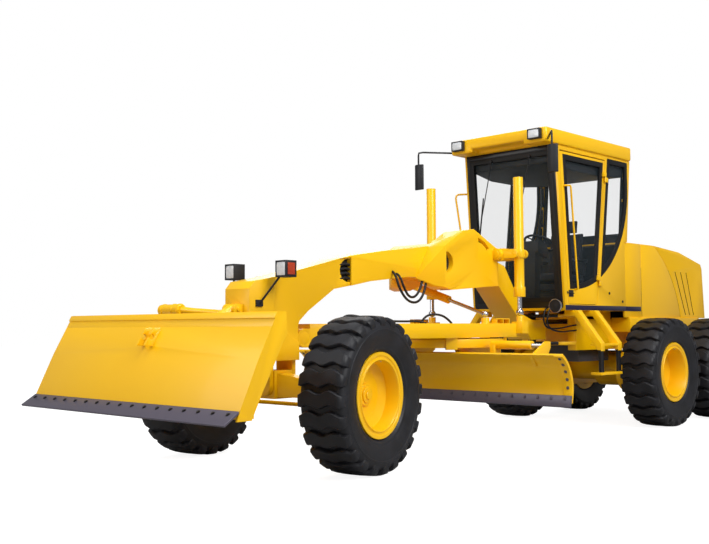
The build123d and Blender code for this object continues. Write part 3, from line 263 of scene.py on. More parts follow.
def finish_material(
    name, colour, shade, roughness, metallic=0.0, coat=0.0, tone=(0.25, 1.5, 0.08), grain=None
):
    """A material from the shared groups: tone is amount, scale and gloss change, grain is scale,
    strength and depth."""
    if name in bpy.data.materials:
        return bpy.data.materials[name]
    material = bpy.data.materials.new(name)
    material.use_nodes = True
    tree = material.node_tree
    shader = tree.nodes["Principled BSDF"]
    shader.inputs["Metallic"].default_value = metallic
    shader.inputs["Coat Weight"].default_value = coat
    if not metallic:
        shader.inputs["Specular IOR Level"].default_value = PLAIN_SPECULAR
    shader.inputs["Coat Roughness"].default_value = COAT_ROUGHNESS
    surface = tree.nodes.new("ShaderNodeGroup")
    surface.node_tree = surface_tone_group()
    surface.inputs["Colour"].default_value = colour
    surface.inputs["Shade"].default_value = shade
    surface.inputs["Amount"].default_value = tone[0]
    surface.inputs["Scale"].default_value = tone[1]
    surface.inputs["Roughness"].default_value = roughness
    surface.inputs["Roughness Change"].default_value = tone[2]
    tree.links.new(surface.outputs["Colour"], shader.inputs["Base Color"])
    tree.links.new(surface.outputs["Roughness"], shader.inputs["Roughness"])
    if grain:
        relief = tree.nodes.new("ShaderNodeGroup")
        relief.node_tree = fine_grain_group()
        relief.inputs["Scale"].default_value = grain[0]
        relief.inputs["Strength"].default_value = grain[1]
        relief.inputs["Distance"].default_value = grain[2]
        tree.links.new(relief.outputs["Normal"], shader.inputs["Normal"])
    return material


def masked_paint(name, regions, dark=(22, 22, 25)):
    """The body paint, turned black inside some regions, each a low and a high corner."""
    if name in bpy.data.materials:
        return bpy.data.materials[name]
    material = body_paint().copy()
    material.name = name
    tree = material.node_tree
    shader = tree.nodes["Principled BSDF"]
    mask = None
    for low, high in regions:
        region = tree.nodes.new("ShaderNodeGroup")
        region.node_tree = region_mask_group()
        region.inputs["Low"].default_value = low
        region.inputs["High"].default_value = high
        inside = region.outputs["Mask"]
        mask = inside if mask is None else math_node(tree, "MAXIMUM", mask, inside)
    paint = shader.inputs["Base Color"].links[0].from_socket
    mix = tree.nodes.new("ShaderNodeMix")
    mix.data_type = "RGBA"
    tree.links.new(mask, mix.inputs["Factor"])
    tree.links.new(paint, mix.inputs["A"])
    mix.inputs["B"].default_value = linear(*dark)
    tree.links.new(mix.outputs["Result"], shader.inputs["Base Color"])
    return material


def darker(colour, share):
    """The same colour at a share of its brightness."""
    return (colour[0] * share, colour[1] * share, colour[2] * share, 1.0)


def body_paint():
    settings = finish_settings()
    return finish_material(
        "body_paint", tuple(settings.body_colour), linear(243, 180, 2), settings.paint_roughness,
        coat=0.14, tone=(0.35, 0.7, 0.06), grain=(260.0, 0.05, 0.0004),
    )


def sill_paint():
    colour = tuple(finish_settings().trim_colour)
    return finish_material("sill_paint", colour, darker(colour, 0.7), 0.3, coat=0.3)


def black_paint():
    return finish_material(
        "black_paint", linear(20, 20, 23), linear(30, 30, 34), 0.38, coat=0.15, grain=(300.0, 0.05, 0.0004)
    )


def dark_plastic():
    return finish_material(
        "dark_plastic", linear(30, 31, 35), linear(42, 43, 48), 0.5, grain=(420.0, 0.2, 0.0006)
    )


def tyre_rubber():
    colour = tuple(finish_settings().rubber_colour)
    # The second colour, a lighter blue-grey mixed in at random, is partly the rubber's own uneven tone and
    # partly painted sheen
    return finish_material(
        "tyre_rubber", colour, linear(42, 43, 50), 0.44, tone=(0.6, 6.0, 0.14), grain=(140.0, 0.25, 0.0015)
    )


def hose_rubber():
    return finish_material(
        "hose_rubber", linear(20, 20, 22), linear(34, 34, 36), 0.48, grain=(500.0, 0.2, 0.0005)
    )


def bright_steel():
    return finish_material(
        "bright_steel", linear(205, 208, 214), linear(170, 172, 180), 0.12,
        metallic=1.0, tone=(0.2, 8.0, 0.06),
    )


def wear_steel():
    return finish_material(
        "wear_steel", tuple(finish_settings().edge_colour), linear(100, 97, 110), 0.42,
        metallic=0.55, tone=(0.6, 3.0, 0.12), grain=(90.0, 0.2, 0.001),
    )


def plated_bolt():
    return finish_material(
        "plated_bolt", linear(150, 142, 110), linear(120, 112, 84), 0.35, metallic=0.9, tone=(0.4, 30.0, 0.1)
    )


def engine_paint():
    return finish_material(
        "engine_paint", linear(70, 70, 74), linear(48, 48, 52), 0.5, grain=(80.0, 0.3, 0.002)
    )


def gasket_rubber():
    return finish_material(
        "gasket_rubber", linear(16, 16, 18), linear(28, 28, 30), 0.55, grain=(600.0, 0.15, 0.0004)
    )


def seat_cloth():
    return finish_material(
        "seat_cloth", linear(46, 48, 56), linear(30, 31, 36), 0.85,
        tone=(0.5, 14.0, 0.08), grain=(900.0, 0.5, 0.0010),
    )


def mirror_glass():
    return finish_material(
        "mirror_glass", linear(214, 220, 228), linear(196, 202, 212), 0.05,
        metallic=1.0, tone=(0.2, 4.0, 0.02),
    )


def lens_glass():
    return finish_material(
        "lens_glass", linear(228, 232, 236), linear(190, 196, 202), 0.08,
        coat=0.8, tone=(0.5, 40.0, 0.04), grain=(160.0, 0.6, 0.002),
    )


def amber_lens():
    return finish_material(
        "amber_lens", linear(188, 62, 22), linear(140, 36, 14), 0.12,
        coat=0.8, tone=(0.4, 60.0, 0.03), grain=(240.0, 0.6, 0.0015),
    )


def clear_glass():
    """Window glass: light passes with a faint cool tint, and the sky shows in it."""
    if "clear_glass" in bpy.data.materials:
        return bpy.data.materials["clear_glass"]
    material = bpy.data.materials.new("clear_glass")
    material.use_nodes = True
    tree = material.node_tree
    shader = tree.nodes["Principled BSDF"]
    shader.inputs["Base Color"].default_value = (0.12, 0.17, 0.20, 1.0)
    shader.inputs["Roughness"].default_value = 0.03
    shader.inputs["Alpha"].default_value = 0.055
    shader.inputs["Specular IOR Level"].default_value = 0.6
    return material


def cab_paint():
    """Yellow outside, and black inside, where the lining and the window frames' inner faces are."""
    # columns: x at the rear, x at the front, z at the foot of each band of the lining
    bands = ((-2.30, -0.60, 1.47), (-2.326, -2.29, 2.15), (-2.350, -2.29, 2.62), (-2.378, -2.29, 2.90))
    return masked_paint("cab_paint", [((x0, -0.1, z0), (x1, CAB_LINING, 3.40)) for x0, x1, z0 in bands])


def door_paint():
    """Yellow outside and black inside."""
    return masked_paint("door_paint", [((-1.85, -0.1, 1.60), (-0.80, CAB_LINING, 3.40))])


def roof_paint():
    """Yellow, with a black underside behind the windshield."""
    return masked_paint("roof_paint", [((-2.40, -0.1, 3.39), (-0.66, 0.645, 3.40))])


def hood_shade_paint():
    """Yellow, with painted shade in dark brown over the depths of the louvres and the seams."""
    return masked_paint("hood_shade_paint", [((-4.30, -0.1, 1.37), (-2.70, 0.6480, 2.02))], dark=(58, 36, 12))


def rear_frame_shade_paint():
    """Yellow, with painted shade in black under the cab's front, where the cab's shadow falls."""
    return masked_paint("rear_frame_shade_paint", [((-1.32, -0.1, 0.70), (-0.60, 0.60, 1.4395))])


def ladder_shade_paint():
    """Yellow stiles and steps, with painted shade in black over the gap between the stiles."""
    return masked_paint("ladder_shade_paint", [((-1.48, 0.99, 0.712), (-0.97, 1.035, 0.972))])


# The hood's, the rear frame's and the ladders' paints hold painted shade in masked regions
PAINT_FOR_NODE = {
    "cab_body": cab_paint, "door_left": door_paint, "door_right": door_paint, "cab_roof": roof_paint,
    "hood": hood_shade_paint, "rear_frame": rear_frame_shade_paint, "ladders": ladder_shade_paint,
}
MATERIAL_FOR_SLOT = {
    "yellow": body_paint, "tyre": tyre_rubber, "chrome": bright_steel, "wear_steel": wear_steel,
    "grey_paint": engine_paint, "glass": clear_glass, "black_plastic": dark_plastic,
    "black_steel": black_paint,
}
slot_of_node = {entry["node"]: entry["material_slot"] for entry in frame["record"]["subparts"]}

# Nodes that the later operators build anew
BUILT_NODES = (
    "operator_seat", "door_glass_left", "door_glass_right", "cab_glass", "steering_console", "mirrors",
    *(f"rim_{corner}" for corner in WHEELS),
)


# Mesh helpers


def add_object(name, mesh, material):
    """Link a mesh as a new object with one material."""
    mesh.materials.clear()
    mesh.materials.append(material)
    piece = bpy.data.objects.new(name, mesh)
    bpy.context.scene.collection.objects.link(piece)
    return piece


def smooth_by_angle(mesh, degrees):
    """Smooth shading, broken at edges sharper than the angle."""
    mesh.shade_smooth()
    mesh.set_sharp_from_angle(angle=math.radians(degrees))


def with_modifiers(piece):
    """Turn a piece's modifiers into its final mesh."""
    depsgraph = bpy.context.evaluated_depsgraph_get()
    depsgraph.update()
    final = bpy.data.meshes.new_from_object(piece.evaluated_get(depsgraph))
    old = piece.data
    piece.modifiers.clear()
    piece.data = final
    bpy.data.meshes.remove(old)


def boolean_with(piece, lists, operation):
    """Cut closed shapes out of a piece, or weld them on, one by one."""
    for number, (points, faces) in enumerate(lists):
        tool = bpy.data.objects.new(f"tool_{number}", mesh_from("tool", points, faces))
        bpy.context.scene.collection.objects.link(tool)
        step = piece.modifiers.new("step", "BOOLEAN")
        step.operation = operation
        step.solver = "EXACT"
        step.object = tool
        with_modifiers(piece)
        mesh = tool.data
        bpy.data.objects.remove(tool)
        bpy.data.meshes.remove(mesh)


def rounded_copy(node, material, width=None, cuts=(), welds=()):
    """A copy of a rigid part that stands for it: its faces are merged, closed shapes are welded on
    and cut out, and its plate edges are rounded last."""
    mesh = nodes[node].data.copy()
    mesh.name = f"{node}_skin"
    work = bmesh.new()
    work.from_mesh(mesh)
    bmesh.ops.remove_doubles(work, verts=work.verts, dist=2e-5)
    bmesh.ops.dissolve_limit(work, angle_limit=math.radians(0.8), verts=work.verts, edges=work.edges)
    work.to_mesh(mesh)
    work.free()
    piece = add_object(f"{node}_skin", mesh, material)
    boolean_with(piece, welds, "UNION")
    boolean_with(piece, cuts, "DIFFERENCE")
    bevel = piece.modifiers.new("round", "BEVEL")
    bevel.width = size_settings().edge_round if width is None else width
    bevel.segments = 2
    bevel.limit_method = "ANGLE"
    bevel.angle_limit = math.radians(34.0)
    bevel.harden_normals = False
    with_modifiers(piece)
    smooth_by_angle(piece.data, 32.0)
    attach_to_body(piece, body_of_node[node])
    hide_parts(node)


def joint_named(name):
    """A joint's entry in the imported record."""
    return next(joint for joint in frame["record"]["behaviour"]["joints"] if joint["name"] == name)


def wheel_place(corner):
    """The place of a wheel's own frame: Y out along its axle, Z up, the origin at its centre."""
    joint = joint_named(f"spin_{corner}")
    side = 1.0 if corner.endswith("left") else -1.0
    out = Vector(joint["axis"]).normalized() * side
    up = Vector((0.0, 0.0, 1.0))
    ahead = out.cross(up)
    turn = Matrix((ahead, out, up)).transposed().to_4x4()
    return Matrix.Translation(Vector(joint["pos_m"])) @ turn


def ring_of(profile, steps, closed=False):
    """Vertices and faces of a profile of (radius, y) points turned about the Y axis."""
    points = []
    for step in range(steps):
        angle = 2.0 * math.pi * step / steps
        points += [(r * math.sin(angle), y, r * math.cos(angle)) for r, y in profile]
    count = len(profile)
    spans = count if closed else count - 1
    faces = []
    for step in range(steps):
        here, there = step * count, (step + 1) % steps * count
        for i in range(spans):
            j = (i + 1) % count
            faces.append((here + i, here + j, there + j, there + i))
    return points, faces


def join_lists(parts):
    """One vertex list and one face list from several."""
    points, faces = [], []
    for more_points, more_faces in parts:
        start = len(points)
        points += more_points
        faces += [tuple(start + i for i in face) for face in more_faces]
    return points, faces


def mesh_from(name, points, faces):
    mesh = bpy.data.meshes.new(name)
    mesh.from_pydata(points, [], faces)
    work = bmesh.new()
    work.from_mesh(mesh)
    bmesh.ops.recalc_face_normals(work, faces=work.faces)
    work.to_mesh(mesh)
    work.free()
    return mesh


def attach(piece, body):
    """Let a piece ride on a body."""
    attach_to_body(piece, body)
    return piece


def softened(piece, width, segments=2):
    """Round a piece's sharp edges and shade it smoothly."""
    bevel = piece.modifiers.new("round", "BEVEL")
    bevel.width = width
    bevel.segments = segments
    bevel.limit_method = "ANGLE"
    bevel.angle_limit = math.radians(30.0)
    with_modifiers(piece)
    smooth_by_angle(piece.data, 40.0)
    return piece


def fitted(name, parts, material, body, soft=0.0, segments=2, smooth=0.0):
    """A new piece on its body, from one or more shapes: soft is the width of its rounded edges, and
    smooth is the angle in degrees up to which a piece without them is shaded as one surface."""
    piece = add_object(name, mesh_from(name, *join_lists(parts)), material)
    if soft:
        softened(piece, soft, segments)
    elif smooth:
        smooth_by_angle(piece.data, smooth)
    return attach(piece, body)


def grid_faces(steps, start=0):
    """The faces of a square grid of points that are numbered row by row from start."""
    row = steps + 1
    corners = [start + i * row + k for i in range(steps) for k in range(steps)]
    return [(a, a + 1, a + row + 1, a + row) for a in corners]


def box_lists(low, high):
    """A closed box between two corners."""
    xs, ys, zs = zip(low, high)
    corners = [(x, y, z) for x in xs for y in ys for z in zs]
    faces = [(0, 1, 3, 2), (4, 6, 7, 5), (0, 4, 5, 1), (2, 3, 7, 6), (0, 2, 6, 4), (1, 5, 7, 3)]
    return corners, faces


def prism_lists(outline, ahead, depth):
    """A closed prism: an outline of 3-D points pushed along a direction."""
    count = len(outline)
    far = [tuple(Vector(p) + Vector(ahead) * depth) for p in outline]
    faces = [tuple(range(count)), tuple(range(2 * count - 1, count - 1, -1))]
    faces += [(i, (i + 1) % count, count + (i + 1) % count, count + i) for i in range(count)]
    return [tuple(p) for p in outline] + far, faces


def tube_lists(path, radius, sides=10, closed=False):
    """A round tube along 3-D points, with closed ends."""
    stations = [Vector(p) for p in path]
    count = len(stations)
    points, normal = [], None
    for i, here in enumerate(stations):
        before = stations[i - 1] if closed or i > 0 else here
        after = stations[(i + 1) % count] if closed or i < count - 1 else here
        along = (after - before).normalized()
        if normal is None:
            normal = along.orthogonal().normalized()
        normal = (normal - along * normal.dot(along)).normalized()
        side = along.cross(normal)
        for k in range(sides):
            angle = 2.0 * math.pi * k / sides
            points.append(tuple(here + radius * (math.cos(angle) * normal + math.sin(angle) * side)))
    faces = []
    for i in range(count if closed else count - 1):
        for k in range(sides):
            j, m = (i + 1) % count, (k + 1) % sides
            faces.append((i * sides + k, i * sides + m, j * sides + m, j * sides + k))
    if not closed:
        faces += [tuple(range(sides)), tuple(range((count - 1) * sides, count * sides))]
    return points, faces


def arc_points(start, via, end, steps=16):
    """Points on the arc from start through via to end, all 2-D, without its start."""
    ax, ay = start
    bx, by = via
    cx, cy = end
    d = 2.0 * (ax * (by - cy) + bx * (cy - ay) + cx * (ay - by))
    aa, bb, cc = ax * ax + ay * ay, bx * bx + by * by, cx * cx + cy * cy
    ux = (aa * (by - cy) + bb * (cy - ay) + cc * (ay - by)) / d
    uy = (aa * (cx - bx) + bb * (ax - cx) + cc * (bx - ax)) / d
    radius = math.hypot(ax - ux, ay - uy)
    first = math.atan2(ay - uy, ax - ux)
    middle = math.atan2(by - uy, bx - ux)
    last = math.atan2(cy - uy, cx - ux)
    turn = (last - first) % (2.0 * math.pi)
    if (middle - first) % (2.0 * math.pi) > turn:
        turn -= 2.0 * math.pi
    return [
        (ux + radius * math.cos(first + turn * i / steps), uy + radius * math.sin(first + turn * i / steps))
        for i in range(1, steps + 1)
    ]


def inset_loop(loop, width):
    """A closed 2-D loop moved inwards by a width, with mitred corners."""
    area = sum(a[0] * b[1] - b[0] * a[1] for a, b in zip(loop, loop[1:] + loop[:1]))
    turn = 1.0 if area > 0 else -1.0
    moved = []
    for before, here, after in zip(loop[-1:] + loop[:-1], loop, loop[1:] + loop[:1]):
        a = (Vector(here) - Vector(before)).normalized()
        b = (Vector(after) - Vector(here)).normalized()
        na, nb = Vector((-a.y, a.x)) * turn, Vector((-b.y, b.x)) * turn
        mitre = (na + nb).normalized()
        reach = width / max(mitre.dot(na), 0.35)
        moved.append(tuple(Vector(here) + mitre * reach))
    return moved


def frame_lists(loop, width, to_space, depth):
    """A flat frame that follows a closed 2-D loop inwards, given its place in space by to_space."""
    inner = inset_loop(loop, width)
    count = len(loop)
    points = []
    for out in (0.0, depth):
        points += [to_space(p, out) for p in loop] + [to_space(p, out) for p in inner]
    faces = []
    for i in range(count):
        j = (i + 1) % count
        outer, hole, outer_up, hole_up = 0, count, 2 * count, 3 * count
        faces += [
            (outer + i, outer + j, hole + j, hole + i),
            (outer_up + i, hole_up + i, hole_up + j, outer_up + j),
            (outer + i, outer_up + i, outer_up + j, outer + j),
            (hole + i, hole + j, hole_up + j, hole_up + i),
        ]
    return points, faces


def bolt_lists(centre, out, radius, height):
    """A hexagon head with a chamfered crown on a washer, at a point and facing out."""
    out = Vector(out).normalized()
    across = out.orthogonal().normalized()
    other = out.cross(across)
    # columns: share of the radius, share of the height, corners
    rings = ((1.45, 0.0, 12), (1.45, 0.16, 12), (1.0, 0.16, 6), (1.0, 0.86, 6), (0.84, 1.0, 6))
    points, faces, starts = [], [], []
    for share, rise, corners in rings:
        starts.append((len(points), corners))
        for k in range(corners):
            angle = 2.0 * math.pi * k / corners
            spot = Vector(centre) + out * (height * rise)
            spot += radius * share * (math.cos(angle) * across + math.sin(angle) * other)
            points.append(tuple(spot))
    for (a, n), (b, m) in zip(starts, starts[1:]):
        for k in range(n):
            after = (k + 1) % n
            if n == m:
                faces.append((a + k, a + after, b + after, b + k))
            elif k % 2:
                faces.append((a + k, a + after, b + after // 2, b + k // 2))
            else:
                faces.append((a + k, a + after, b + k // 2))
    faces.append(tuple(range(starts[-1][0], starts[-1][0] + 6)))
    return points, faces


def bolts(name, spots, radius, height, body, material=None):
    """One joined row of bolt heads: spots are pairs of a centre and an outward direction."""
    lists = join_lists([bolt_lists(centre, out, radius, height) for centre, out in spots])
    piece = add_object(name, mesh_from(name, *lists), material or plated_bolt())
    smooth_by_angle(piece.data, 25.0)
    return attach(piece, body)


def traced(path):
    """A closed 2-D outline: the first point, then points or arcs through a point to a point."""
    loop = [path[0]]
    for step in path[1:]:
        if isinstance(step[0], tuple):
            loop += arc_points(loop[-1], step[0], step[1])
        else:
            loop.append(step)
    return loop


def side_prism(path, y0, y1):
    """A closed prism across the machine from a side outline of (x, z)."""
    return prism_lists([(x, y0, z) for x, z in traced(path)], (0.0, 1.0, 0.0), y1 - y0)


def plan_prism(path, z0, z1):
    """A closed upright prism from a plan outline of (x, y)."""
    return prism_lists([(x, y, z0) for x, y in traced(path)], (0.0, 0.0, 1.0), z1 - z0)


def round_bar(start, end, radius, sides=40):
    """A closed round bar between two points."""
    return tube_lists([start, end], radius, sides)


def both_sides(side, near, far):
    """A stretch of Y on one side of the machine."""
    return sorted((side * near, side * far))


def side_space(side, face_y):
    """Places a 2-D (x, z) point on a side wall of the cab; the depth goes outwards."""
    return lambda point, out: (point[0], side * (face_y + out), point[1])


def leaning_space(foot, top):
    """Places a 2-D (y, height) point on a leaning wall between two (x, z) points, outwards to +X."""
    slope = Vector((top[0] - foot[0], 0.0, top[1] - foot[1]))
    out_way = Vector((slope.z, 0.0, -slope.x)).normalized()
    length = slope.length
    start = Vector((foot[0], 0.0, foot[1]))

    def place(point, out):
        return tuple(start + slope * (point[1] / length) + Vector((0.0, point[0], 0.0)) + out_way * out)

    return place


# Outlines, cuts and welds of the plate work. A side outline is a row of (x, z) points, and a pair of
# points in it is an arc through the first to the second

NECK_WEB = (
    (2.268, 1.938), ((2.790, 1.852), (3.235, 1.702)), (3.300, 1.300), (2.990, 1.120), (2.268, 1.120),
)
NECK_WINDOW = ((2.268, 1.697), ((2.409, 1.809), (2.268, 1.921)))
SADDLE_WINDOW = ((1.060, 1.822), ((0.945, 1.936), (1.060, 2.050)))
SADDLE_SLOTS = (
    ((0.300, 2.120), ((0.390, 2.190), (0.500, 2.225)), (0.490, 2.180), ((0.405, 2.150), (0.335, 2.095))),
)
SADDLE_HOLLOW = ((1.000, 1.640), (0.820, 1.698), (0.519, 1.900), (0.1352, 1.7085))
HOOD_SEAM = (
    (-3.080, 2.335), ((-3.536, 1.980), (-3.851, 1.355)), (-3.859, 1.355), ((-3.544, 1.980), (-3.088, 2.335)),
)
# columns: x at the louvre's top, x at its foot
HOOD_LOUVRES = ((-3.730, -4.028), (-3.900, -4.155), (-4.070, -4.280))
DOOR_WINDOW = ((-1.540, 1.824), ((-1.250, 1.738), (-0.965, 1.719)), (-0.850, 3.270), (-1.735, 3.270))
QUARTER_WINDOW = ((-1.690, 1.903), ((-2.060, 2.219), (-2.349, 3.060)), (-2.350, 3.340), (-1.893, 3.340))
# The leaning walls of the cab, each from (x, z) at its foot to (x, z) at its top
WINDSHIELD_WALL = ((-0.830, 1.440), (-0.684, 3.395))
REAR_WALL = ((-2.340, 2.331), (-2.450, 3.395))
# (x, z) at the centre of the moldboard's curve
MOLDBOARD_CENTRE = (1.306, 0.658)


def neck_cuts():
    """The sunk webs of the neck and its hose openings."""
    cuts = []
    for side in (1, -1):
        cuts.append(side_prism(NECK_WEB, *both_sides(side, 0.150, 0.180)))
        cuts.append(side_prism(NECK_WINDOW, *both_sides(side, 0.110, 0.181)))
    return cuts


def saddle_cuts():
    """The low far side of the saddle, its slanted front corners and its openings."""
    cuts = [side_prism(((0.12, 2.150), (1.30, 2.150), (1.30, 2.40), (0.12, 2.40)), -0.401, 0.130)]
    for side in (1, -1):
        near, far, out = side * 0.168, side * 0.4005, side * 0.45
        corner = ((1.2925, near), (1.0780, far), (1.0780, out), (1.35, out), (1.35, near))
        cuts.append(plan_prism(corner, 1.60, 2.145))
    cuts += [side_prism(opening, 0.340, 0.401) for opening in (SADDLE_WINDOW, *SADDLE_SLOTS)]
    return cuts


def saddle_welds():
    """A web in the saddle's hollow, and the round bosses beside its rear end."""
    welds = [side_prism(SADDLE_HOLLOW, 0.250, 0.400)]
    for side in (1, -1):
        y, z = side * 0.430, 2.060
        welds.append(round_bar((-0.060, y, z), (0.220, y, z), 0.0655, 48))
        welds.append(round_bar((0.219, y, z), (0.230, y, z), 0.046, 40))
    return welds


def hood_cuts():
    """The door seams and the louvres on both sides of the hood."""
    cuts = []
    for side in (1, -1):
        groove = both_sides(side, 0.645, 0.660)
        cuts.append(side_prism(HOOD_SEAM, *groove))
        cuts.append(side_prism(((-2.740, 1.355), (-2.732, 1.355), (-2.732, 2.335), (-2.740, 2.335)), *groove))
        for x_top, x_foot in HOOD_LOUVRES:
            louvre = ((x_top, 2.000), (x_top + 0.022, 2.000), (x_foot + 0.022, 1.400), (x_foot, 1.400))
            cuts.append(side_prism(louvre, *both_sides(side, 0.638, 0.660)))
    return cuts


def grille_cuts():
    """Nine slots across the rear grille."""
    feet = [1.512 + slot * 0.0525 for slot in range(9)]
    return [box_lists((-4.70, -0.440, z0), (-4.50, 0.440, z0 + 0.032)) for z0 in feet]


def roof_cuts():
    """The notch under the roof's brow."""
    return [side_prism(((-0.640, 3.380), (-0.420, 3.380), (-0.420, 3.440), (-0.590, 3.440)), -0.380, 0.380)]


def lamp_cuts():
    """The roof lamps' recesses for their lenses."""
    return [box_lists((-0.381, y - 0.071, 3.443), (-0.360, y + 0.071, 3.537)) for y in (-0.560, 0.560)]


def headlamp_cuts():
    """The headlamps' recesses for their lenses."""
    spans = [both_sides(side, 0.302, 0.418) for side in (1, -1)]
    return [box_lists((3.361, y0, 1.714), (3.380, y1, 1.836)) for y0, y1 in spans]


def cab_cuts():
    """The rear side windows."""
    return [side_prism(QUARTER_WINDOW, *both_sides(side, 0.600, 0.680)) for side in (1, -1)]


def dozer_welds():
    """The flange along the top of the blade's face."""
    return [side_prism(((4.366, 1.368), (4.384, 1.368), (4.409, 1.323), (4.390, 1.312)), -1.456, 1.456)]


# columns: cuts, welds and edge width, for the nodes that need more than rounding
PLATE_DETAIL = {
    "front_frame": (neck_cuts, None, 0.006),
    "saddle": (saddle_cuts, saddle_welds, 0.007),
    "hood": (hood_cuts, None, 0.006),
    "rear_grille": (grille_cuts, None, 0.002),
    "cab_roof": (roof_cuts, None, 0.022),
    "cab_lamps": (lamp_cuts, None, 0.006),
    "headlamps": (headlamp_cuts, None, 0.014),
    "cab_body": (cab_cuts, None, 0.006),
    "door_left": (lambda: [side_prism(DOOR_WINDOW, 0.600, 0.680)], None, 0.005),
    "door_right": (lambda: [side_prism(DOOR_WINDOW, -0.680, -0.600)], None, 0.005),
    "dozer_blade": (None, dozer_welds, 0.005),
}


# Operators, one for each piece or group of like pieces


class GRADER_OT_plate_work(bpy.types.Operator):
    """Round the edges of the welded and cast parts and paint them"""

    bl_idname = "grader.plate_work"
    bl_label = "Plate work"

    def execute(self, context):
        for node in nodes:
            slot = slot_of_node[node]
            if slot == "tyre" or node in BUILT_NODES:
                continue
            if slot == "glass":
                nodes[node].data.materials.clear()
                nodes[node].data.materials.append(clear_glass())
                continue
            paint = PAINT_FOR_NODE.get(node, MATERIAL_FOR_SLOT[slot])()
            cuts, welds, width = PLATE_DETAIL.get(node, (None, None, None))
            rounded_copy(node, paint, width, cuts=cuts() if cuts else (), welds=welds() if welds else ())
        return {"FINISHED"}


class GRADER_OT_tyres(bpy.types.Operator):
    """Mould the tyres: a carcass with bead and sidewall rings, and wavy lugs across the tread"""

    bl_idname = "grader.tyres"
    bl_label = "Tyres"

    # columns: radius, y, over half the carcass from the bead to the crown
    half_profile = (
        (0.3190, 0.1622), (0.3655, 0.1622), (0.3780, 0.1740), (0.3930, 0.1905), (0.4030, 0.1960),
        (0.4130, 0.1955), (0.4210, 0.2000), (0.4700, 0.2140), (0.5250, 0.2215), (0.5450, 0.2220),
        (0.5480, 0.2245), (0.5600, 0.2245), (0.5630, 0.2215), (0.5900, 0.2170), (0.6130, 0.2060),
        (0.6280, 0.1850), (0.6360, 0.1500), (0.6390, 0.0700),
    )
    # columns: radius, y, lug's half width, over half a lug from its end on the sidewall to the crown
    lug_half = (
        (0.5900, 0.2180, 0.034), (0.6120, 0.2225, 0.040), (0.6380, 0.2190, 0.046), (0.6570, 0.2060, 0.051),
        (0.6660, 0.1860, 0.056), (0.6700, 0.1600, 0.059), (0.6722, 0.1300, 0.060), (0.6735, 0.1040, 0.060),
        (0.6743, 0.0780, 0.060), (0.6748, 0.0520, 0.060), (0.6750, 0.0260, 0.060),
    )
    wave_length = 0.208
    wave_height = 0.017
    chamfer = 0.007
    root_radius = 0.030
    crown_radius = 0.675
    # how far a lug's foot draws in on the sidewall, and from which y on
    foot_draft = 0.02
    shoulder = 0.18

    def execute(self, context):
        mesh = self.tyre_mesh()
        for corner in WHEELS:
            node = f"tyre_{corner}"
            piece = add_object(f"tyre_skin_{corner}", mesh.copy(), tyre_rubber())
            piece.data.transform(wheel_place(corner))
            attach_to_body(piece, body_of_node[node])
            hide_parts(node)
        bpy.data.meshes.remove(mesh)
        return {"FINISHED"}

    def tyre_mesh(self):
        """The tyre about its own axle, Y out."""
        profile = list(self.half_profile) + [(self.half_profile[-1][0] + 0.001, 0.0)]
        profile += [(r, -y) for r, y in reversed(self.half_profile)]
        parts = [ring_of(profile, 120, closed=True)]
        count = size_settings().lug_count
        for number in range(count):
            parts.append(self.lug(2.0 * math.pi * number / count))
        mesh = mesh_from("tyre", *join_lists(parts))
        smooth_by_angle(mesh, 34.0)
        return mesh

    def lug(self, middle):
        """One bar across the tread, with chamfered edges and its foot sunk in the carcass."""
        rows = list(self.lug_half) + [(self.crown_radius, 0.0, 0.060)]
        rows += [(r, -y, half) for r, y, half in reversed(self.lug_half)]
        points = []
        for radius, y, half in rows:
            wave = self.wave_height * math.cos(2.0 * math.pi * y / self.wave_length)
            # columns: place along the tread, drop below the lug's top
            columns = (
                (-half - 0.006, self.root_radius + 0.012), (-half, self.chamfer), (-half + self.chamfer, 0.0),
                (0.0, 0.0), (half - self.chamfer, 0.0), (half, self.chamfer),
                (half + 0.006, self.root_radius + 0.012),
            )
            for along, drop in columns:
                angle = middle + (wave + along) / self.crown_radius
                deep = radius - drop
                inward = self.foot_draft if drop > self.root_radius and abs(y) > self.shoulder else 0.0
                points.append((deep * math.sin(angle), y - math.copysign(inward, y), deep * math.cos(angle)))
        width = len(columns)
        faces = []
        for row in range(len(rows) - 1):
            for column in range(width - 1):
                first = row * width + column
                faces.append((first, first + 1, first + width + 1, first + width))
        faces.append(tuple(range(width)))
        faces.append(tuple(range((len(rows) - 1) * width, len(rows) * width)))
        return points, faces


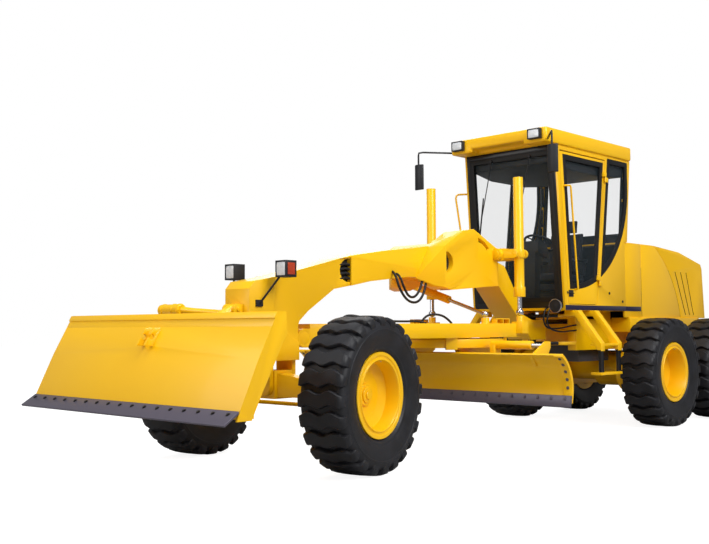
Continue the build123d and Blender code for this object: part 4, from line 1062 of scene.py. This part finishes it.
class GRADER_OT_wheel_fittings(bpy.types.Operator):
    """Turn the rims with their dished discs, and fit nuts and a valve stem"""

    bl_idname = "grader.wheel_fittings"
    bl_label = "Wheel fittings"

    # the front discs stand further out, and the disc is what lies within this radius and half width
    front_shift = 0.080
    disc_radius = 0.292
    disc_reach = 0.100
    disc_y = -0.067
    nut_circle = 0.150
    nut_count = 10
    # columns: radius, y, around the rim's section and across the dished disc
    section = (
        (0.2910, 0.1720), (0.2990, 0.1830), (0.3070, 0.1830), (0.3140, 0.1725), (0.3215, 0.1720),
        (0.3300, 0.1740), (0.3360, 0.1815), (0.3440, 0.1828), (0.3640, 0.1830), (0.3660, 0.1810),
        (0.3660, 0.1635), (0.3180, 0.1630), (0.3180, -0.1630), (0.3660, -0.1635), (0.3660, -0.1830),
        (0.2910, -0.1830), (0.2910, -0.0480), (0.2160, -0.0835), (0.0950, -0.0835), (0.0950, -0.1110),
        (0.0530, -0.1110), (0.0530, -0.0700), (0.0, -0.0700), (0.0, -0.0130), (0.0340, -0.0130),
        (0.0380, -0.0165), (0.0400, -0.0270), (0.0660, -0.0280), (0.0700, -0.0310), (0.0720, -0.0420),
        (0.0900, -0.0430), (0.0950, -0.0480), (0.0960, -0.0670), (0.2080, -0.0670), (0.2160, -0.0650),
        (0.2880, -0.0285), (0.2910, -0.0200),
    )

    def execute(self, context):
        for corner in WHEELS:
            place = wheel_place(corner)
            spots = []
            for number in range(self.nut_count):
                angle = 2.0 * math.pi * (number + 0.5) / self.nut_count
                x, z = self.nut_circle * math.sin(angle), self.nut_circle * math.cos(angle)
                spots.append((place @ Vector((x, self.disc_y, z)), place.to_3x3() @ Vector((0.0, 1.0, 0.0))))
            node = f"rim_{corner}"
            body = body_of_node[node]
            shift = self.front_shift if corner.startswith("front") else 0.0
            section = [
                (r, y + shift if r < self.disc_radius and abs(y) < self.disc_reach else y)
                for r, y in self.section
            ]
            turned = mesh_from("rim", *ring_of(section, 96, closed=True))
            rim = add_object(f"rim_skin_{corner}", turned, body_paint())
            rim.data.transform(place)
            smooth_by_angle(rim.data, 38.0)
            attach(rim, body)
            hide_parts(node)
            bolts(f"wheel_nuts_{corner}", spots, 0.0125, 0.022, body, body_paint())
            foot = Vector((0.0, 0.150, 0.300))
            stem = (foot, foot + Vector((0.0, 0.02, -0.006)), foot + Vector((0.0, 0.034, -0.020)))
            parts = [tube_lists([place @ point for point in stem], 0.0042)]
            fitted(f"valve_stem_{corner}", parts, bright_steel(), body, smooth=40.0)
        return {"FINISHED"}


class GRADER_OT_cab_trim(bpy.types.Operator):
    """Trim the cab: panes and gaskets, console and lining, rails, wipers, locks, lamps and mirrors"""

    bl_idname = "grader.cab_trim"
    bl_label = "Cab trim"

    cab_half = 0.669
    pane_faces = (0.643, 0.649)
    pane_thick = 0.006
    gasket_lap = 0.026

    def execute(self, context):
        self.panes()
        self.gaskets()
        self.console()
        self.headliner()
        self.rails()
        self.foot_lamp()
        self.sill_strips()
        self.wipers()
        self.locks()
        self.lamps()
        self.mirrors()
        return {"FINISHED"}

    def panes(self):
        """Window glass in every opening, set back in its gasket."""
        for side, name in SIDES:
            parts = [side_prism(DOOR_WINDOW, *both_sides(side, *self.pane_faces))]
            pane = fitted(f"door_pane_{name}", parts, clear_glass(), f"door_{name}")
            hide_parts(f"door_glass_{name}")
        parts = [side_prism(QUARTER_WINDOW, *both_sides(side, *self.pane_faces)) for side in (1, -1)]
        # columns: wall, height up it of the pane's foot and of its top, depth
        walls = ((WINDSHIELD_WALL, 0.100, 1.905, -0.026), (REAR_WALL, 0.069, 1.014, 0.020))
        for wall, low, high, depth in walls:
            space = leaning_space(*wall)
            corners = [space(p, depth) for p in ((-0.599, low), (0.599, low), (0.599, high), (-0.599, high))]
            out_way = Vector(space((0.0, 0.0), 1.0)) - Vector(space((0.0, 0.0), 0.0))
            parts.append(prism_lists(corners, out_way, self.pane_thick))
        pane = fitted("cab_panes", parts, clear_glass(), "rear_frame")
        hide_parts("cab_glass")

    def gaskets(self):
        """Black rubber frames around every pane."""
        for side, name in SIDES:
            space = side_space(side, self.cab_half - 0.021)
            for piece, window, body in (
                (f"door_gasket_{name}", DOOR_WINDOW, f"door_{name}"),
                (f"quarter_gasket_{name}", QUARTER_WINDOW, "rear_frame"),
            ):
                loop = inset_loop(traced(window), -self.gasket_lap)
                parts = [frame_lists(loop, 0.064, space, 0.0235)]
                fitted(piece, parts, gasket_rubber(), body, 0.003)
        # columns: piece, wall, height up it of the frame's foot and of its top, width, depth sunk
        for piece, wall, low, high, width, sunk in (
            ("windshield_gasket", WINDSHIELD_WALL, 0.098, 1.906, 0.062, 0.020),
            ("rear_gasket", REAR_WALL, 0.067, 1.016, 0.050, 0.004),
        ):
            space = leaning_space(*wall)
            loop = [(-0.602, low), (0.602, low), (0.602, high), (-0.602, high)]
            parts = [frame_lists(loop, width, lambda p, out: space(p, out - sunk), 0.024)]
            fitted(piece, parts, gasket_rubber(), "rear_frame", 0.004)

    def console(self):
        """The steering console, its column and the wheel."""
        foot = ((-1.000, 1.4905), (-1.150, 1.4905), ((-1.130, 1.850), (-1.245, 2.150)), (-1.035, 2.240))
        head = ((-1.030, 2.170), (-1.245, 2.100), (-1.265, 2.160), ((-1.180, 2.290), (-1.030, 2.300)))
        mesh = mesh_from("console", *side_prism(foot, -0.130, 0.130))
        box = add_object("console_skin", mesh, dark_plastic())
        boolean_with(box, [side_prism(head, -0.170, 0.170)], "UNION")
        attach(softened(box, 0.016, 3), "rear_frame")
        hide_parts("steering_console")
        turn = Matrix.Translation((-1.330, 0.0, 2.300)) @ Matrix.Rotation(math.radians(-28.0), 4, "Y")
        angles = [step * math.pi / 24 for step in range(48)]
        ring = [turn @ Vector((0.190 * math.cos(a), 0.190 * math.sin(a), 0.0)) for a in angles]
        column = [(-1.165, 0.0, 2.140), turn @ Vector((0, 0, 0))]
        parts = [tube_lists(ring, 0.015, 12, closed=True), tube_lists(column, 0.026, 20)]
        for angle in (90.0, 210.0, 330.0):
            a = math.radians(angle)
            tip = Vector((0.186 * math.cos(a), 0.186 * math.sin(a), 0.0))
            spoke = (tip * 0.08, tip * 0.6 + Vector((0, 0, 0.004)), tip)
            parts.append(tube_lists([turn @ point for point in spoke], 0.009, 10))
        parts.append(tube_lists([turn @ Vector((0, 0, z)) for z in (-0.012, 0.016)], 0.042, 28))
        fitted("steering_wheel", parts, dark_plastic(), "rear_frame", smooth=40.0)

    def headliner(self):
        """The black air duct and lining under the roof."""
        path = (
            (-0.752, 3.200), (-0.737, 3.392), (-2.390, 3.392), (-2.350, 3.180), (-1.900, 3.130),
            (-1.150, 3.130),
        )
        parts = [side_prism(path, -0.610, 0.610)]
        fitted("headliner", parts, dark_plastic(), "rear_frame", 0.020, 4)

    def rails(self):
        """A yellow grab rail on each door, and one on the front post's far side."""
        for side, name in SIDES:
            near, mid, out = side * 0.667, side * 0.700, side * 0.716
            path = (
                (-0.838, near, 2.915), (-0.838, mid, 2.915), (-0.850, out, 2.915), (-0.905, out, 2.918),
                (-0.922, out, 2.900), (-1.040, out, 1.731), (-1.044, out, 1.700), (-1.045, mid, 1.690),
                (-1.045, near, 1.690),
            )
            parts = [tube_lists(path, 0.0115, 14)]
            fitted(f"grab_rail_{name}", parts, body_paint(), f"door_{name}", smooth=50.0)
        path = (
            (-0.790, -0.665, 2.940), (-0.745, -0.735, 2.940), (-0.700, -0.792, 2.938),
            (-0.668, -0.802, 2.920), (-0.657, -0.802, 2.880), (-0.743, -0.802, 2.500),
            (-0.800, -0.802, 2.250), (-0.806, -0.795, 2.215), (-0.815, -0.735, 2.200),
            (-0.826, -0.665, 2.200),
        )
        fitted("post_rail", [tube_lists(path, 0.012, 14)], body_paint(), "rear_frame", smooth=60.0)

    def foot_lamp(self):
        """A round work lamp with a bright rim at the cab's foot."""
        shell = (
            (0.0, -0.070), (0.050, -0.066), (0.074, -0.040), (0.084, -0.008), (0.084, 0.004), (0.078, 0.006),
            (0.076, -0.002), (0.0, 0.012),
        )
        rim = (
            (0.0755, 0.0), (0.0775, 0.008), (0.0825, 0.0085), (0.0850, 0.003), (0.0850, -0.006),
            (0.0845, -0.010),
        )
        for number, (section, material) in enumerate(((shell, dark_plastic()), (rim, bright_steel()))):
            points, faces = ring_of(section, 48, closed=number == 1)
            parts = [([(-0.770 + y, x + 0.570, z + 1.490) for x, y, z in points], faces)]
            if number == 0:
                parts.append(box_lists((-0.856, 0.545, 1.440), (-0.800, 0.595, 1.500)))
            fitted(f"foot_lamp_{number}", parts, material, "rear_frame", smooth=40.0)

    def sill_strips(self):
        """The dark painted strip under the door, around both sides."""
        for side, name in SIDES:
            y0, y1 = both_sides(side, 0.667, 0.6725)
            parts = [box_lists((-2.268, y0, 1.442), (-0.832, y1, 1.502))]
            y0, y1 = both_sides(side, 0.6495, 0.6550)
            parts.append(box_lists((-2.705, y0, 1.442), (-2.300, y1, 1.502)))
            fitted(f"sill_strip_{name}", parts, sill_paint(), "rear_frame", 0.0015)

    def wipers(self):
        """Two wipers that hang from the top of the windshield, each with its arm, blade and motor cap."""
        front = leaning_space(*WINDSHIELD_WALL)
        for number, (pivot_y, tip_y) in enumerate(((0.30, 0.10), (-0.26, -0.46))):
            pivot = (pivot_y, 1.86)
            tip = front((tip_y, 1.12), 0.022)
            top, foot = (tip_y + 0.05, 1.42), (tip_y - 0.06, 0.82)
            parts = [
                tube_lists([front(pivot, -0.010), front(pivot, 0.030)], 0.018, 14),
                tube_lists([front(pivot, 0.012), front((pivot_y - 0.02, 1.70), 0.040), tip], 0.006),
                tube_lists([front(top, 0.012), tip, front(foot, 0.012)], 0.008, 8),
                tube_lists([front(top, 0.003), front(foot, 0.003)], 0.004, 6),
            ]
            fitted(f"wiper_{number}", parts, dark_plastic(), "rear_frame", smooth=40.0)

    def locks(self):
        """A pull and a key barrel on each door, and two locks on the cab's side behind it."""
        for side, name in SIDES:
            y = side * self.cab_half
            y0, y1 = sorted((y, y + side * 0.006))
            near, far = y + side * 0.004, y + side * 0.022
            bow = [(-0.990, near, 1.640), (-0.990, far, 1.640), (-0.930, far, 1.640), (-0.930, near, 1.640)]
            barrel = [(-0.885, y - side * 0.001, 1.650), (-0.885, y + side * 0.006, 1.650)]
            parts = [
                box_lists((-1.010, y0, 1.600), (-0.910, y1, 1.680)),
                tube_lists(bow, 0.008),
                tube_lists(barrel, 0.014, 20),
            ]
            fitted(f"door_pull_{name}", parts, dark_plastic(), f"door_{name}", 0.002)
            parts = [
                tube_lists([(x, y - side * 0.001, z), (x, y + side * 0.007, z)], 0.017, 20)
                for x, z in ((-1.860, 1.660), (-2.190, 1.560))
            ]
            fitted(f"side_lock_{name}", parts, dark_plastic(), "rear_frame", 0.002)

    def mirrors(self):
        """Mirror heads, rounded forwards, on their arms, with their faces to the rear."""
        for side, name in SIDES:
            plan = (
                (-0.150, side * 0.906), (-0.150, side * 1.034), (-0.136, side * 1.040),
                ((-0.100, side * 0.970), (-0.136, side * 0.900)),
            )
            parts = [plan_prism(plan, 2.962, 3.278)]
            head = fitted(
                f"mirror_head_{name}", parts, dark_plastic(), "rear_frame", 0.012, 3
            )
            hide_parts("mirrors")
            path = (
                (-0.472, side * 0.7005, 3.430), (-0.440, side * 0.722, 3.432), (-0.170, side * 0.935, 3.434),
                (-0.128, side * 0.966, 3.424), (-0.124, side * 0.970, 3.390), (-0.124, side * 0.970, 3.270),
            )
            parts = [tube_lists(path, 0.0115, 14)]
            fitted(f"mirror_arm_{name}", parts, black_paint(), "rear_frame", smooth=50.0)
            y0, y1 = both_sides(side, 0.918, 1.022)
            parts = [box_lists((-0.1515, y0, 2.985), (-0.1485, y1, 3.255))]
            fitted(f"mirror_face_{name}", parts, mirror_glass(), "rear_frame", 0.001)

    def lamps(self):
        """Lenses of the roof lamps and the headlamps, and the side markers."""
        for side, name in SIDES:
            self.lens(f"roof_lens_{name}", (-0.381, side * 0.560, 3.490), (0.0705, 0.0465), "rear_frame")
            self.lens(f"head_lens_{name}", (3.3615, side * 0.360, 1.775), (0.056, 0.059), "front_frame")
            y0, y1 = both_sides(side, 0.4295, 0.436)
            parts = [box_lists((3.262, y0, 1.722), (3.348, y1, 1.828))]
            fitted(f"side_marker_{name}", parts, amber_lens(), "front_frame", 0.004, 3)

    def lens(self, name, centre, half, body):
        """A crowned pane with ribs: a grid bulged towards the front."""
        steps = 12
        points = []
        for i in range(steps + 1):
            for k in range(steps + 1):
                u, v = 2.0 * i / steps - 1.0, 2.0 * k / steps - 1.0
                bulge = 0.010 * (1.0 - 0.5 * (u ** 4 + v ** 4)) + 0.0006 * math.cos(i * math.pi)
                points.append((centre[0] + bulge, centre[1] + u * half[0], centre[2] + v * half[1]))
        fitted(name, [(points, grid_faces(steps))], lens_glass(), body, smooth=60.0)


class GRADER_OT_seat(bpy.types.Operator):
    """Upholster the operator's seat on its pedestal"""

    bl_idname = "grader.seat"
    bl_label = "Seat"

    def execute(self, context):
        parts = [
            box_lists((-1.900, -0.180, 1.492), (-1.600, 0.180, 1.700)),
            box_lists((-1.960, -0.235, 1.700), (-1.540, 0.235, 1.790)),
            box_lists((-2.035, -0.200, 1.760), (-1.985, 0.200, 2.400)),
            box_lists((-2.020, -0.020, 2.390), (-2.000, 0.020, 2.500)),
        ]
        for side in (1, -1):
            y0, y1 = both_sides(side, 0.265, 0.330)
            parts.append(box_lists((-1.950, y0, 2.064), (-1.570, y1, 2.106)))
            y0, y1 = both_sides(side, 0.195, 0.300)
            parts.append(box_lists((-1.930, y0, 1.900), (-1.885, y1, 2.070)))
        base = fitted("seat_shell", parts, dark_plastic(), "rear_frame", 0.010, 3)
        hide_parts("operator_seat")
        # columns: name, centre, half sizes, lean in degrees
        pads = (
            ("seat_cushion", (-1.745, 0.0, 1.862), (0.235, 0.240, 0.064), 4.0),
            ("back_cushion", (-1.945, 0.0, 2.190), (0.058, 0.232, 0.262), 9.0),
            ("head_cushion", (-1.998, 0.0, 2.545), (0.045, 0.138, 0.078), 9.0),
        )
        for name, centre, half, lean in pads:
            self.pad(name, Vector(centre), half, math.radians(lean))
        return {"FINISHED"}

    def pad(self, name, centre, half, lean):
        """A crowned cushion with a sewn waist, from a rounded box swollen over its faces."""
        steps = 14
        thin = min(range(3), key=lambda axis: half[axis])
        wide = [axis for axis in range(3) if axis != thin]
        points, faces = [], []
        for face in (1.0, -1.0):
            start = len(points)
            for i in range(steps + 1):
                for k in range(steps + 1):
                    u = math.sin(math.pi / 2 * (2.0 * i / steps - 1.0))
                    v = math.sin(math.pi / 2 * (2.0 * k / steps - 1.0))
                    rim = (1.0 - abs(u) ** 5) * (1.0 - abs(v) ** 5)
                    crown = 0.35 + 0.65 * max(rim, 0.0) ** 0.45
                    channel = 0.10 * math.exp(-((abs(u) - 0.62) / 0.05) ** 2)
                    channel += 0.06 * math.exp(-((v + 0.1) / 0.04) ** 2)
                    spot = [0.0, 0.0, 0.0]
                    pull = 1.0 - 0.035 * (1.0 - abs(u) ** 2) * abs(v) ** 6
                    pull -= 0.035 * (1.0 - abs(v) ** 2) * abs(u) ** 6
                    spot[wide[0]] = half[wide[0]] * u * pull
                    spot[wide[1]] = half[wide[1]] * v * pull
                    spot[thin] = face * half[thin] * (crown - channel * (rim > 0.2))
                    points.append(tuple(spot))
            faces += grid_faces(steps, start)
        count = (steps + 1) ** 2
        edge = [i * (steps + 1) for i in range(steps + 1)]
        edge += [steps * (steps + 1) + k for k in range(1, steps + 1)]
        edge += [i * (steps + 1) + steps for i in range(steps - 1, -1, -1)] + list(range(steps - 1, 0, -1))
        for a, b in zip(edge, edge[1:] + edge[:1]):
            faces.append((a, b, count + b, count + a))
        mesh = mesh_from(name, points, faces)
        mesh.transform(Matrix.Translation(centre) @ Matrix.Rotation(-lean, 4, "Y"))
        piece = add_object(name, mesh, seat_cloth())
        piece.modifiers.new("smooth", "SUBSURF").levels = 1
        with_modifiers(piece)
        piece.data.shade_smooth()
        attach(piece, "rear_frame")
        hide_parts("operator_seat")


class GRADER_OT_blade_bolts(bpy.types.Operator):
    """Bolt the cutting edges and the wear strips on"""

    bl_idname = "grader.blade_bolts"
    bl_label = "Blade bolts"

    def execute(self, context):
        # the moldboard's edge, whose front face leans by 12 degrees
        lean = math.radians(12.0)
        start = Vector((0.948, 0.0, 0.5819))
        down = Vector((math.sin(lean), 0.0, -math.cos(lean)))
        out = Vector((math.cos(lean), 0.0, math.sin(lean)))
        foot = start + down * 0.034 + out * 0.0175
        spots = [(foot + Vector((0.0, -1.76 + number * 3.52 / 23, 0.0)), out) for number in range(24)]
        bolts("cutting_edge_bolts", spots, 0.013, 0.011, "moldboard", wear_steel())
        # the wear strips at both ends of its curve
        centre = Vector((MOLDBOARD_CENTRE[0], 0.0, MOLDBOARD_CENTRE[1]))
        spots = []
        for side in (1, -1):
            for angle in (128.0, 141.0, 154.0, 167.0, 180.0):
                way = Vector((math.cos(math.radians(angle)), 0.0, math.sin(math.radians(angle))))
                spots.append((centre + way * 0.3545 + Vector((0.0, side * 1.7825, 0.0)), -way))
        bolts("strip_bolts", spots, 0.012, 0.010, "moldboard", wear_steel())
        # the dozer blade's edge
        slope = Vector((0.1400, 0.0, -0.0900)).normalized()
        up = Vector((-slope.z, 0.0, slope.x))
        spots = [
            (Vector((4.736, -1.38 + number * 2.76 / 16, 0.662)) + slope * 0.048, up) for number in range(17)
        ]
        bolts("dozer_edge_bolts", spots, 0.013, 0.010, "dozer", black_paint())
        return {"FINISHED"}


class GRADER_OT_added_plates(bpy.types.Operator):
    """Add the drawbar's gussets, the moldboard's end strips, the air tank and sheets of painted shade in the
    openings of the neck and the saddle
    """

    bl_idname = "grader.added_plates"
    bl_label = "Added plates"

    def execute(self, context):
        self.gussets()
        self.strips()
        self.tank()
        self.opening_shade_backs()
        return {"FINISHED"}

    def gussets(self):
        """Boxes with open sides along the drawbar's rear corners."""
        parts = []
        for side in (1, -1):
            web, flange = both_sides(side, 0.540, 0.555), both_sides(side, 0.540, 0.620)
            parts.append(box_lists((0.230, web[0], 1.2845), (0.475, web[1], 1.340)))
            parts.append(box_lists((0.230, flange[0], 1.328), (0.475, flange[1], 1.340)))
            for x in (0.230, 0.345, 0.460):
                parts.append(box_lists((x, flange[0], 1.2845), (x + 0.015, flange[1], 1.339)))
        fitted("drawbar_gussets", parts, body_paint(), "drawbar", 0.003)

    def strips(self):
        """Wear strips at both ends of the moldboard's face."""

        def spot(angle, radius):
            x, z = MOLDBOARD_CENTRE
            return (x + radius * math.cos(math.radians(angle)), z + radius * math.sin(math.radians(angle)))

        back, face = 0.3665, 0.354
        path = (
            spot(120.7, back), (spot(156.35, back), spot(192.0, back)),
            spot(192.0, face), (spot(156.35, face), spot(120.7, face)),
        )
        for side, name in SIDES:
            parts = [side_prism(path, *both_sides(side, 1.735, 1.830))]
            fitted(f"end_strip_{name}", parts, body_paint(), "moldboard", 0.003)

    def tank(self):
        """A round tank with three bands on the head's right side, on its bracket."""
        sections = [(
            (0.0, -0.620), (0.044, -0.620), (0.054, -0.630), (0.055, -0.640),
            (0.055, -0.930), (0.054, -0.940), (0.044, -0.950), (0.0, -0.950),
        )]
        for y in (-0.660, -0.740, -0.900):
            sections.append(((0.0545, y), (0.060, y + 0.001), (0.060, y + 0.017), (0.0545, y + 0.018)))
        parts = []
        for section in sections:
            points, faces = ring_of(section, 48)
            parts.append(([(x + 3.720, y, z + 1.420) for x, y, z in points], faces))
        bracket = (
            (3.500, -0.168, 1.380), (3.560, -0.260, 1.385), (3.660, -0.520, 1.405), (3.720, -0.640, 1.420),
        )
        parts.append(tube_lists(bracket, 0.032, 20))
        fitted("air_tank", parts, body_paint(), "front_frame", smooth=36.0)

    def opening_shade_backs(self):
        """Dark sheets of painted shade at the backs of the openings of the neck and the saddle, and the
        pressure lines behind them.
        """
        parts = [side_prism(NECK_WINDOW, *both_sides(side, 0.110, 0.1115)) for side in (1, -1)]
        parts += [side_prism(path, 0.340, 0.3415) for path in (SADDLE_WINDOW, *SADDLE_SLOTS)]
        # Thin sheets in the dark plastic, painted shade standing for the openings' dark depths
        fitted("opening_shade_backs", parts, dark_plastic(), "front_frame")
        parts = []
        for side in (1, -1):
            for z in (1.735, 1.780, 1.825, 1.870):
                line = (
                    (2.262, side * 0.140, z - 0.006), (2.330, side * 0.148, z + 0.004),
                    (2.415, side * 0.136, z - 0.010),
                )
                parts.append(tube_lists(line, 0.0135, 16))
        fitted("neck_lines", parts, hose_rubber(), "front_frame", smooth=60.0)


class GRADER_OT_hoses(bpy.types.Operator):
    """Run the hydraulic hoses of the gooseneck, the drawbar and the cab's front"""

    bl_idname = "grader.hoses"
    bl_label = "Hoses"

    # columns: name, body, diameter, points of the route
    runs = (
        ("hose_loop_a", "front_frame", 0.026, (
            (1.60, 0.171, 1.80), (1.62, 0.235, 1.78), (1.60, 0.27, 1.66), (1.50, 0.25, 1.56),
            (1.36, 0.22, 1.56), (1.27, 0.22, 1.66), (1.22, 0.20, 1.745),
        )),
        ("hose_loop_b", "front_frame", 0.026, (
            (1.66, 0.171, 1.82), (1.69, 0.24, 1.79), (1.68, 0.28, 1.64), (1.55, 0.28, 1.51),
            (1.36, 0.26, 1.50), (1.24, 0.25, 1.62), (1.18, 0.22, 1.735),
        )),
        ("hose_drawbar_a", "drawbar", 0.022, (
            (2.42, 0.16, 1.2865), (2.40, 0.17, 1.36), (2.28, 0.22, 1.37), (2.10, 0.30, 1.315),
            (1.80, 0.43, 1.305), (1.62, 0.50, 1.31), (1.55, 0.52, 1.2865),
        )),
        ("hose_drawbar_b", "drawbar", 0.024, (
            (1.25, 0.20, 1.2865), (1.22, 0.22, 1.36), (1.10, 0.26, 1.39), (0.95, 0.30, 1.36),
            (0.88, 0.32, 1.2865),
        )),
        ("hose_cab_a", "rear_frame", 0.020, (
            (-0.840, 0.43, 1.475), (-0.790, 0.43, 1.470), (-0.740, 0.43, 1.40), (-0.745, 0.42, 1.31),
            (-0.820, 0.41, 1.24), (-0.94, 0.40, 1.220), (-1.15, 0.40, 1.225), (-1.38, 0.40, 1.255),
            (-1.505, 0.40, 1.265),
        )),
        ("hose_cab_b", "rear_frame", 0.020, (
            (-0.840, 0.49, 1.475), (-0.785, 0.49, 1.468), (-0.730, 0.49, 1.39), (-0.735, 0.475, 1.29),
            (-0.820, 0.46, 1.225), (-0.95, 0.45, 1.195), (-1.16, 0.43, 1.180), (-1.38, 0.405, 1.195),
            (-1.505, 0.40, 1.200),
        )),
    )

    def execute(self, context):
        for name, body, diameter, points in self.runs:
            curve = bpy.data.curves.new(name, "CURVE")
            curve.dimensions = "3D"
            curve.bevel_depth = diameter / 2
            curve.bevel_resolution = 4
            curve.use_fill_caps = True
            spline = curve.splines.new("NURBS")
            spline.points.add(len(points) - 1)
            for point, place in zip(spline.points, points):
                point.co = (*place, 1.0)
            spline.order_u = 3
            spline.use_endpoint_u = True
            spline.resolution_u = 8
            curve.materials.append(hose_rubber())
            hose = bpy.data.objects.new(name, curve)
            context.scene.collection.objects.link(hose)
            attach(hose, body)
            self.length_of(hose)
        return {"FINISHED"}

    def length_of(self, hose):
        """The length of a hose's own centreline."""
        bare = hose.copy()
        bare.data = hose.data.copy()
        bare.data.bevel_depth = 0.0
        line = bpy.data.meshes.new_from_object(bare)
        places = [vertex.co for vertex in line.vertices]
        length = sum((places[edge.vertices[0]] - places[edge.vertices[1]]).length for edge in line.edges)
        bpy.data.meshes.remove(line)
        bpy.data.curves.remove(bare.data)
        return length


class GRADER_OT_studio(bpy.types.Operator):
    """Set up the pale floor, the soft lights and the camera"""

    bl_idname = "grader.studio"
    bl_label = "Studio"

    def execute(self, context):
        self.add_floor()
        self.add_lights(context)
        self.add_camera(context)
        context.scene.view_settings.view_transform = "Standard"
        return {"FINISHED"}

    def add_floor(self):
        """A wide floor that shows white to the camera and keeps the shadow."""
        mesh = bpy.data.meshes.new("floor")
        half = 60.0
        corners = [(-half, -half, 0.0), (half, -half, 0.0), (half, half, 0.0), (-half, half, 0.0)]
        mesh.from_pydata(corners, [], [(0, 1, 2, 3)])
        material = bpy.data.materials.new("floor_white")
        material.use_nodes = True
        tree = material.node_tree
        shader = tree.nodes["Principled BSDF"]
        shader.inputs["Base Color"].default_value = (0.36, 0.36, 0.36, 1.0)
        shader.inputs["Roughness"].default_value = 0.9
        shader.inputs["Specular IOR Level"].default_value = 0.0
        path = tree.nodes.new("ShaderNodeLightPath")
        lift = math_node(tree, "MULTIPLY", path.outputs["Is Camera Ray"], 0.90)
        tree.links.new(lift, shader.inputs["Emission Strength"])
        shader.inputs["Emission Color"].default_value = (1.0, 1.0, 1.0, 1.0)
        floor = add_object("floor", mesh, material)

    def add_lights(self, context):
        """A dome that shows white to the camera, and four broad lamps."""
        world = bpy.data.worlds.new("studio_sky")
        context.scene.world = world
        world.use_nodes = True
        tree = world.node_tree
        background = tree.nodes["Background"]
        path = tree.nodes.new("ShaderNodeLightPath")
        seen = math_node(tree, "MAXIMUM", path.outputs["Is Camera Ray"], path.outputs["Is Transmission Ray"])
        strength = tree.nodes.new("ShaderNodeMapRange")
        strength.inputs["To Min"].default_value = 0.30
        strength.inputs["To Max"].default_value = 1.0
        tree.links.new(seen, strength.inputs["Value"])
        tree.links.new(strength.outputs["Result"], background.inputs["Strength"])
        background.inputs["Color"].default_value = (1.0, 1.0, 1.0, 1.0)
        # columns: name, place, aim, power in watts, width
        lamps = [
            ("key", (2.5, 13.0, 10.0), (-0.5, 0.0, 1.2), 1680.0, 7.0),
            ("fill", (14.0, -3.0, 7.0), (1.0, 0.0, 1.0), 700.0, 8.0),
            ("top", (4.0, 3.0, 14.0), (1.5, 0.0, 0.0), 1000.0, 9.0),
            ("back", (-10.0, -11.0, 9.0), (-0.5, 0.0, 1.2), 800.0, 9.0),
        ]
        for name, place, aim, energy, width in lamps:
            lamp = bpy.data.lights.new(name, "AREA")
            lamp.energy = energy
            lamp.size = width
            holder = bpy.data.objects.new(name, lamp)
            context.scene.collection.objects.link(holder)
            holder.location = place
            holder.rotation_euler = (Vector(place) - Vector(aim)).to_track_quat("Z", "Y").to_euler()

    def add_camera(self, context):
        """The fitted camera, looking slightly up at the machine."""
        data = bpy.data.cameras.new("camera")
        data.lens = CAMERA_LENS
        data.sensor_width = CAMERA_SENSOR
        data.sensor_fit = "HORIZONTAL"
        data.clip_end = 300.0
        camera = bpy.data.objects.new("camera", data)
        context.scene.collection.objects.link(camera)
        back = Vector((
            math.cos(CAMERA_ELEVATION) * math.cos(CAMERA_AZIMUTH),
            math.cos(CAMERA_ELEVATION) * math.sin(CAMERA_AZIMUTH),
            math.sin(CAMERA_ELEVATION),
        ))
        right = Vector((-math.sin(CAMERA_AZIMUTH), math.cos(CAMERA_AZIMUTH), 0.0))
        up = back.cross(right)
        rolled_right = math.cos(CAMERA_ROLL) * right + math.sin(CAMERA_ROLL) * up
        rolled_up = math.cos(CAMERA_ROLL) * up - math.sin(CAMERA_ROLL) * right
        turn = Matrix((rolled_right, rolled_up, back)).transposed().to_4x4()
        camera.matrix_world = Matrix.Translation(CAMERA_PLACE) @ turn
        context.scene.camera = camera


class GRADER_PT_dressing(bpy.types.Panel):
    """Lists the steps that dress the machine"""

    bl_label = "Motor grader"
    bl_idname = "GRADER_PT_dressing"
    bl_space_type = "VIEW_3D"
    bl_region_type = "UI"
    bl_category = "Grader"

    def draw(self, context):
        layout = self.layout
        for group in (context.scene.grader_finish, context.scene.grader_sizes):
            for name in group.bl_rna.properties.keys():
                if name not in ("rna_type", "name"):
                    layout.prop(group, name)
        for operator in OPERATORS:
            layout.operator(operator.bl_idname)


OPERATORS = (
    GRADER_OT_studio, GRADER_OT_plate_work, GRADER_OT_tyres, GRADER_OT_wheel_fittings,
    GRADER_OT_cab_trim, GRADER_OT_seat, GRADER_OT_added_plates, GRADER_OT_blade_bolts, GRADER_OT_hoses,
)
CLASSES = (GraderFinish, GraderSizes, *OPERATORS, GRADER_PT_dressing)


def register():
    for item in CLASSES:
        bpy.utils.register_class(item)
    bpy.types.Scene.grader_finish = PointerProperty(type=GraderFinish)
    bpy.types.Scene.grader_sizes = PointerProperty(type=GraderSizes)


def unregister():
    del bpy.types.Scene.grader_sizes
    del bpy.types.Scene.grader_finish
    for item in reversed(CLASSES):
        bpy.utils.unregister_class(item)


def main():
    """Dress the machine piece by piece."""
    register()
    bpy.ops.grader.studio()
    bpy.ops.grader.plate_work()
    bpy.ops.grader.tyres()
    bpy.ops.grader.wheel_fittings()
    bpy.ops.grader.cab_trim()
    bpy.ops.grader.seat()
    bpy.ops.grader.added_plates()
    bpy.ops.grader.blade_bolts()
    bpy.ops.grader.hoses()


if __name__ == "__main__":
    main()
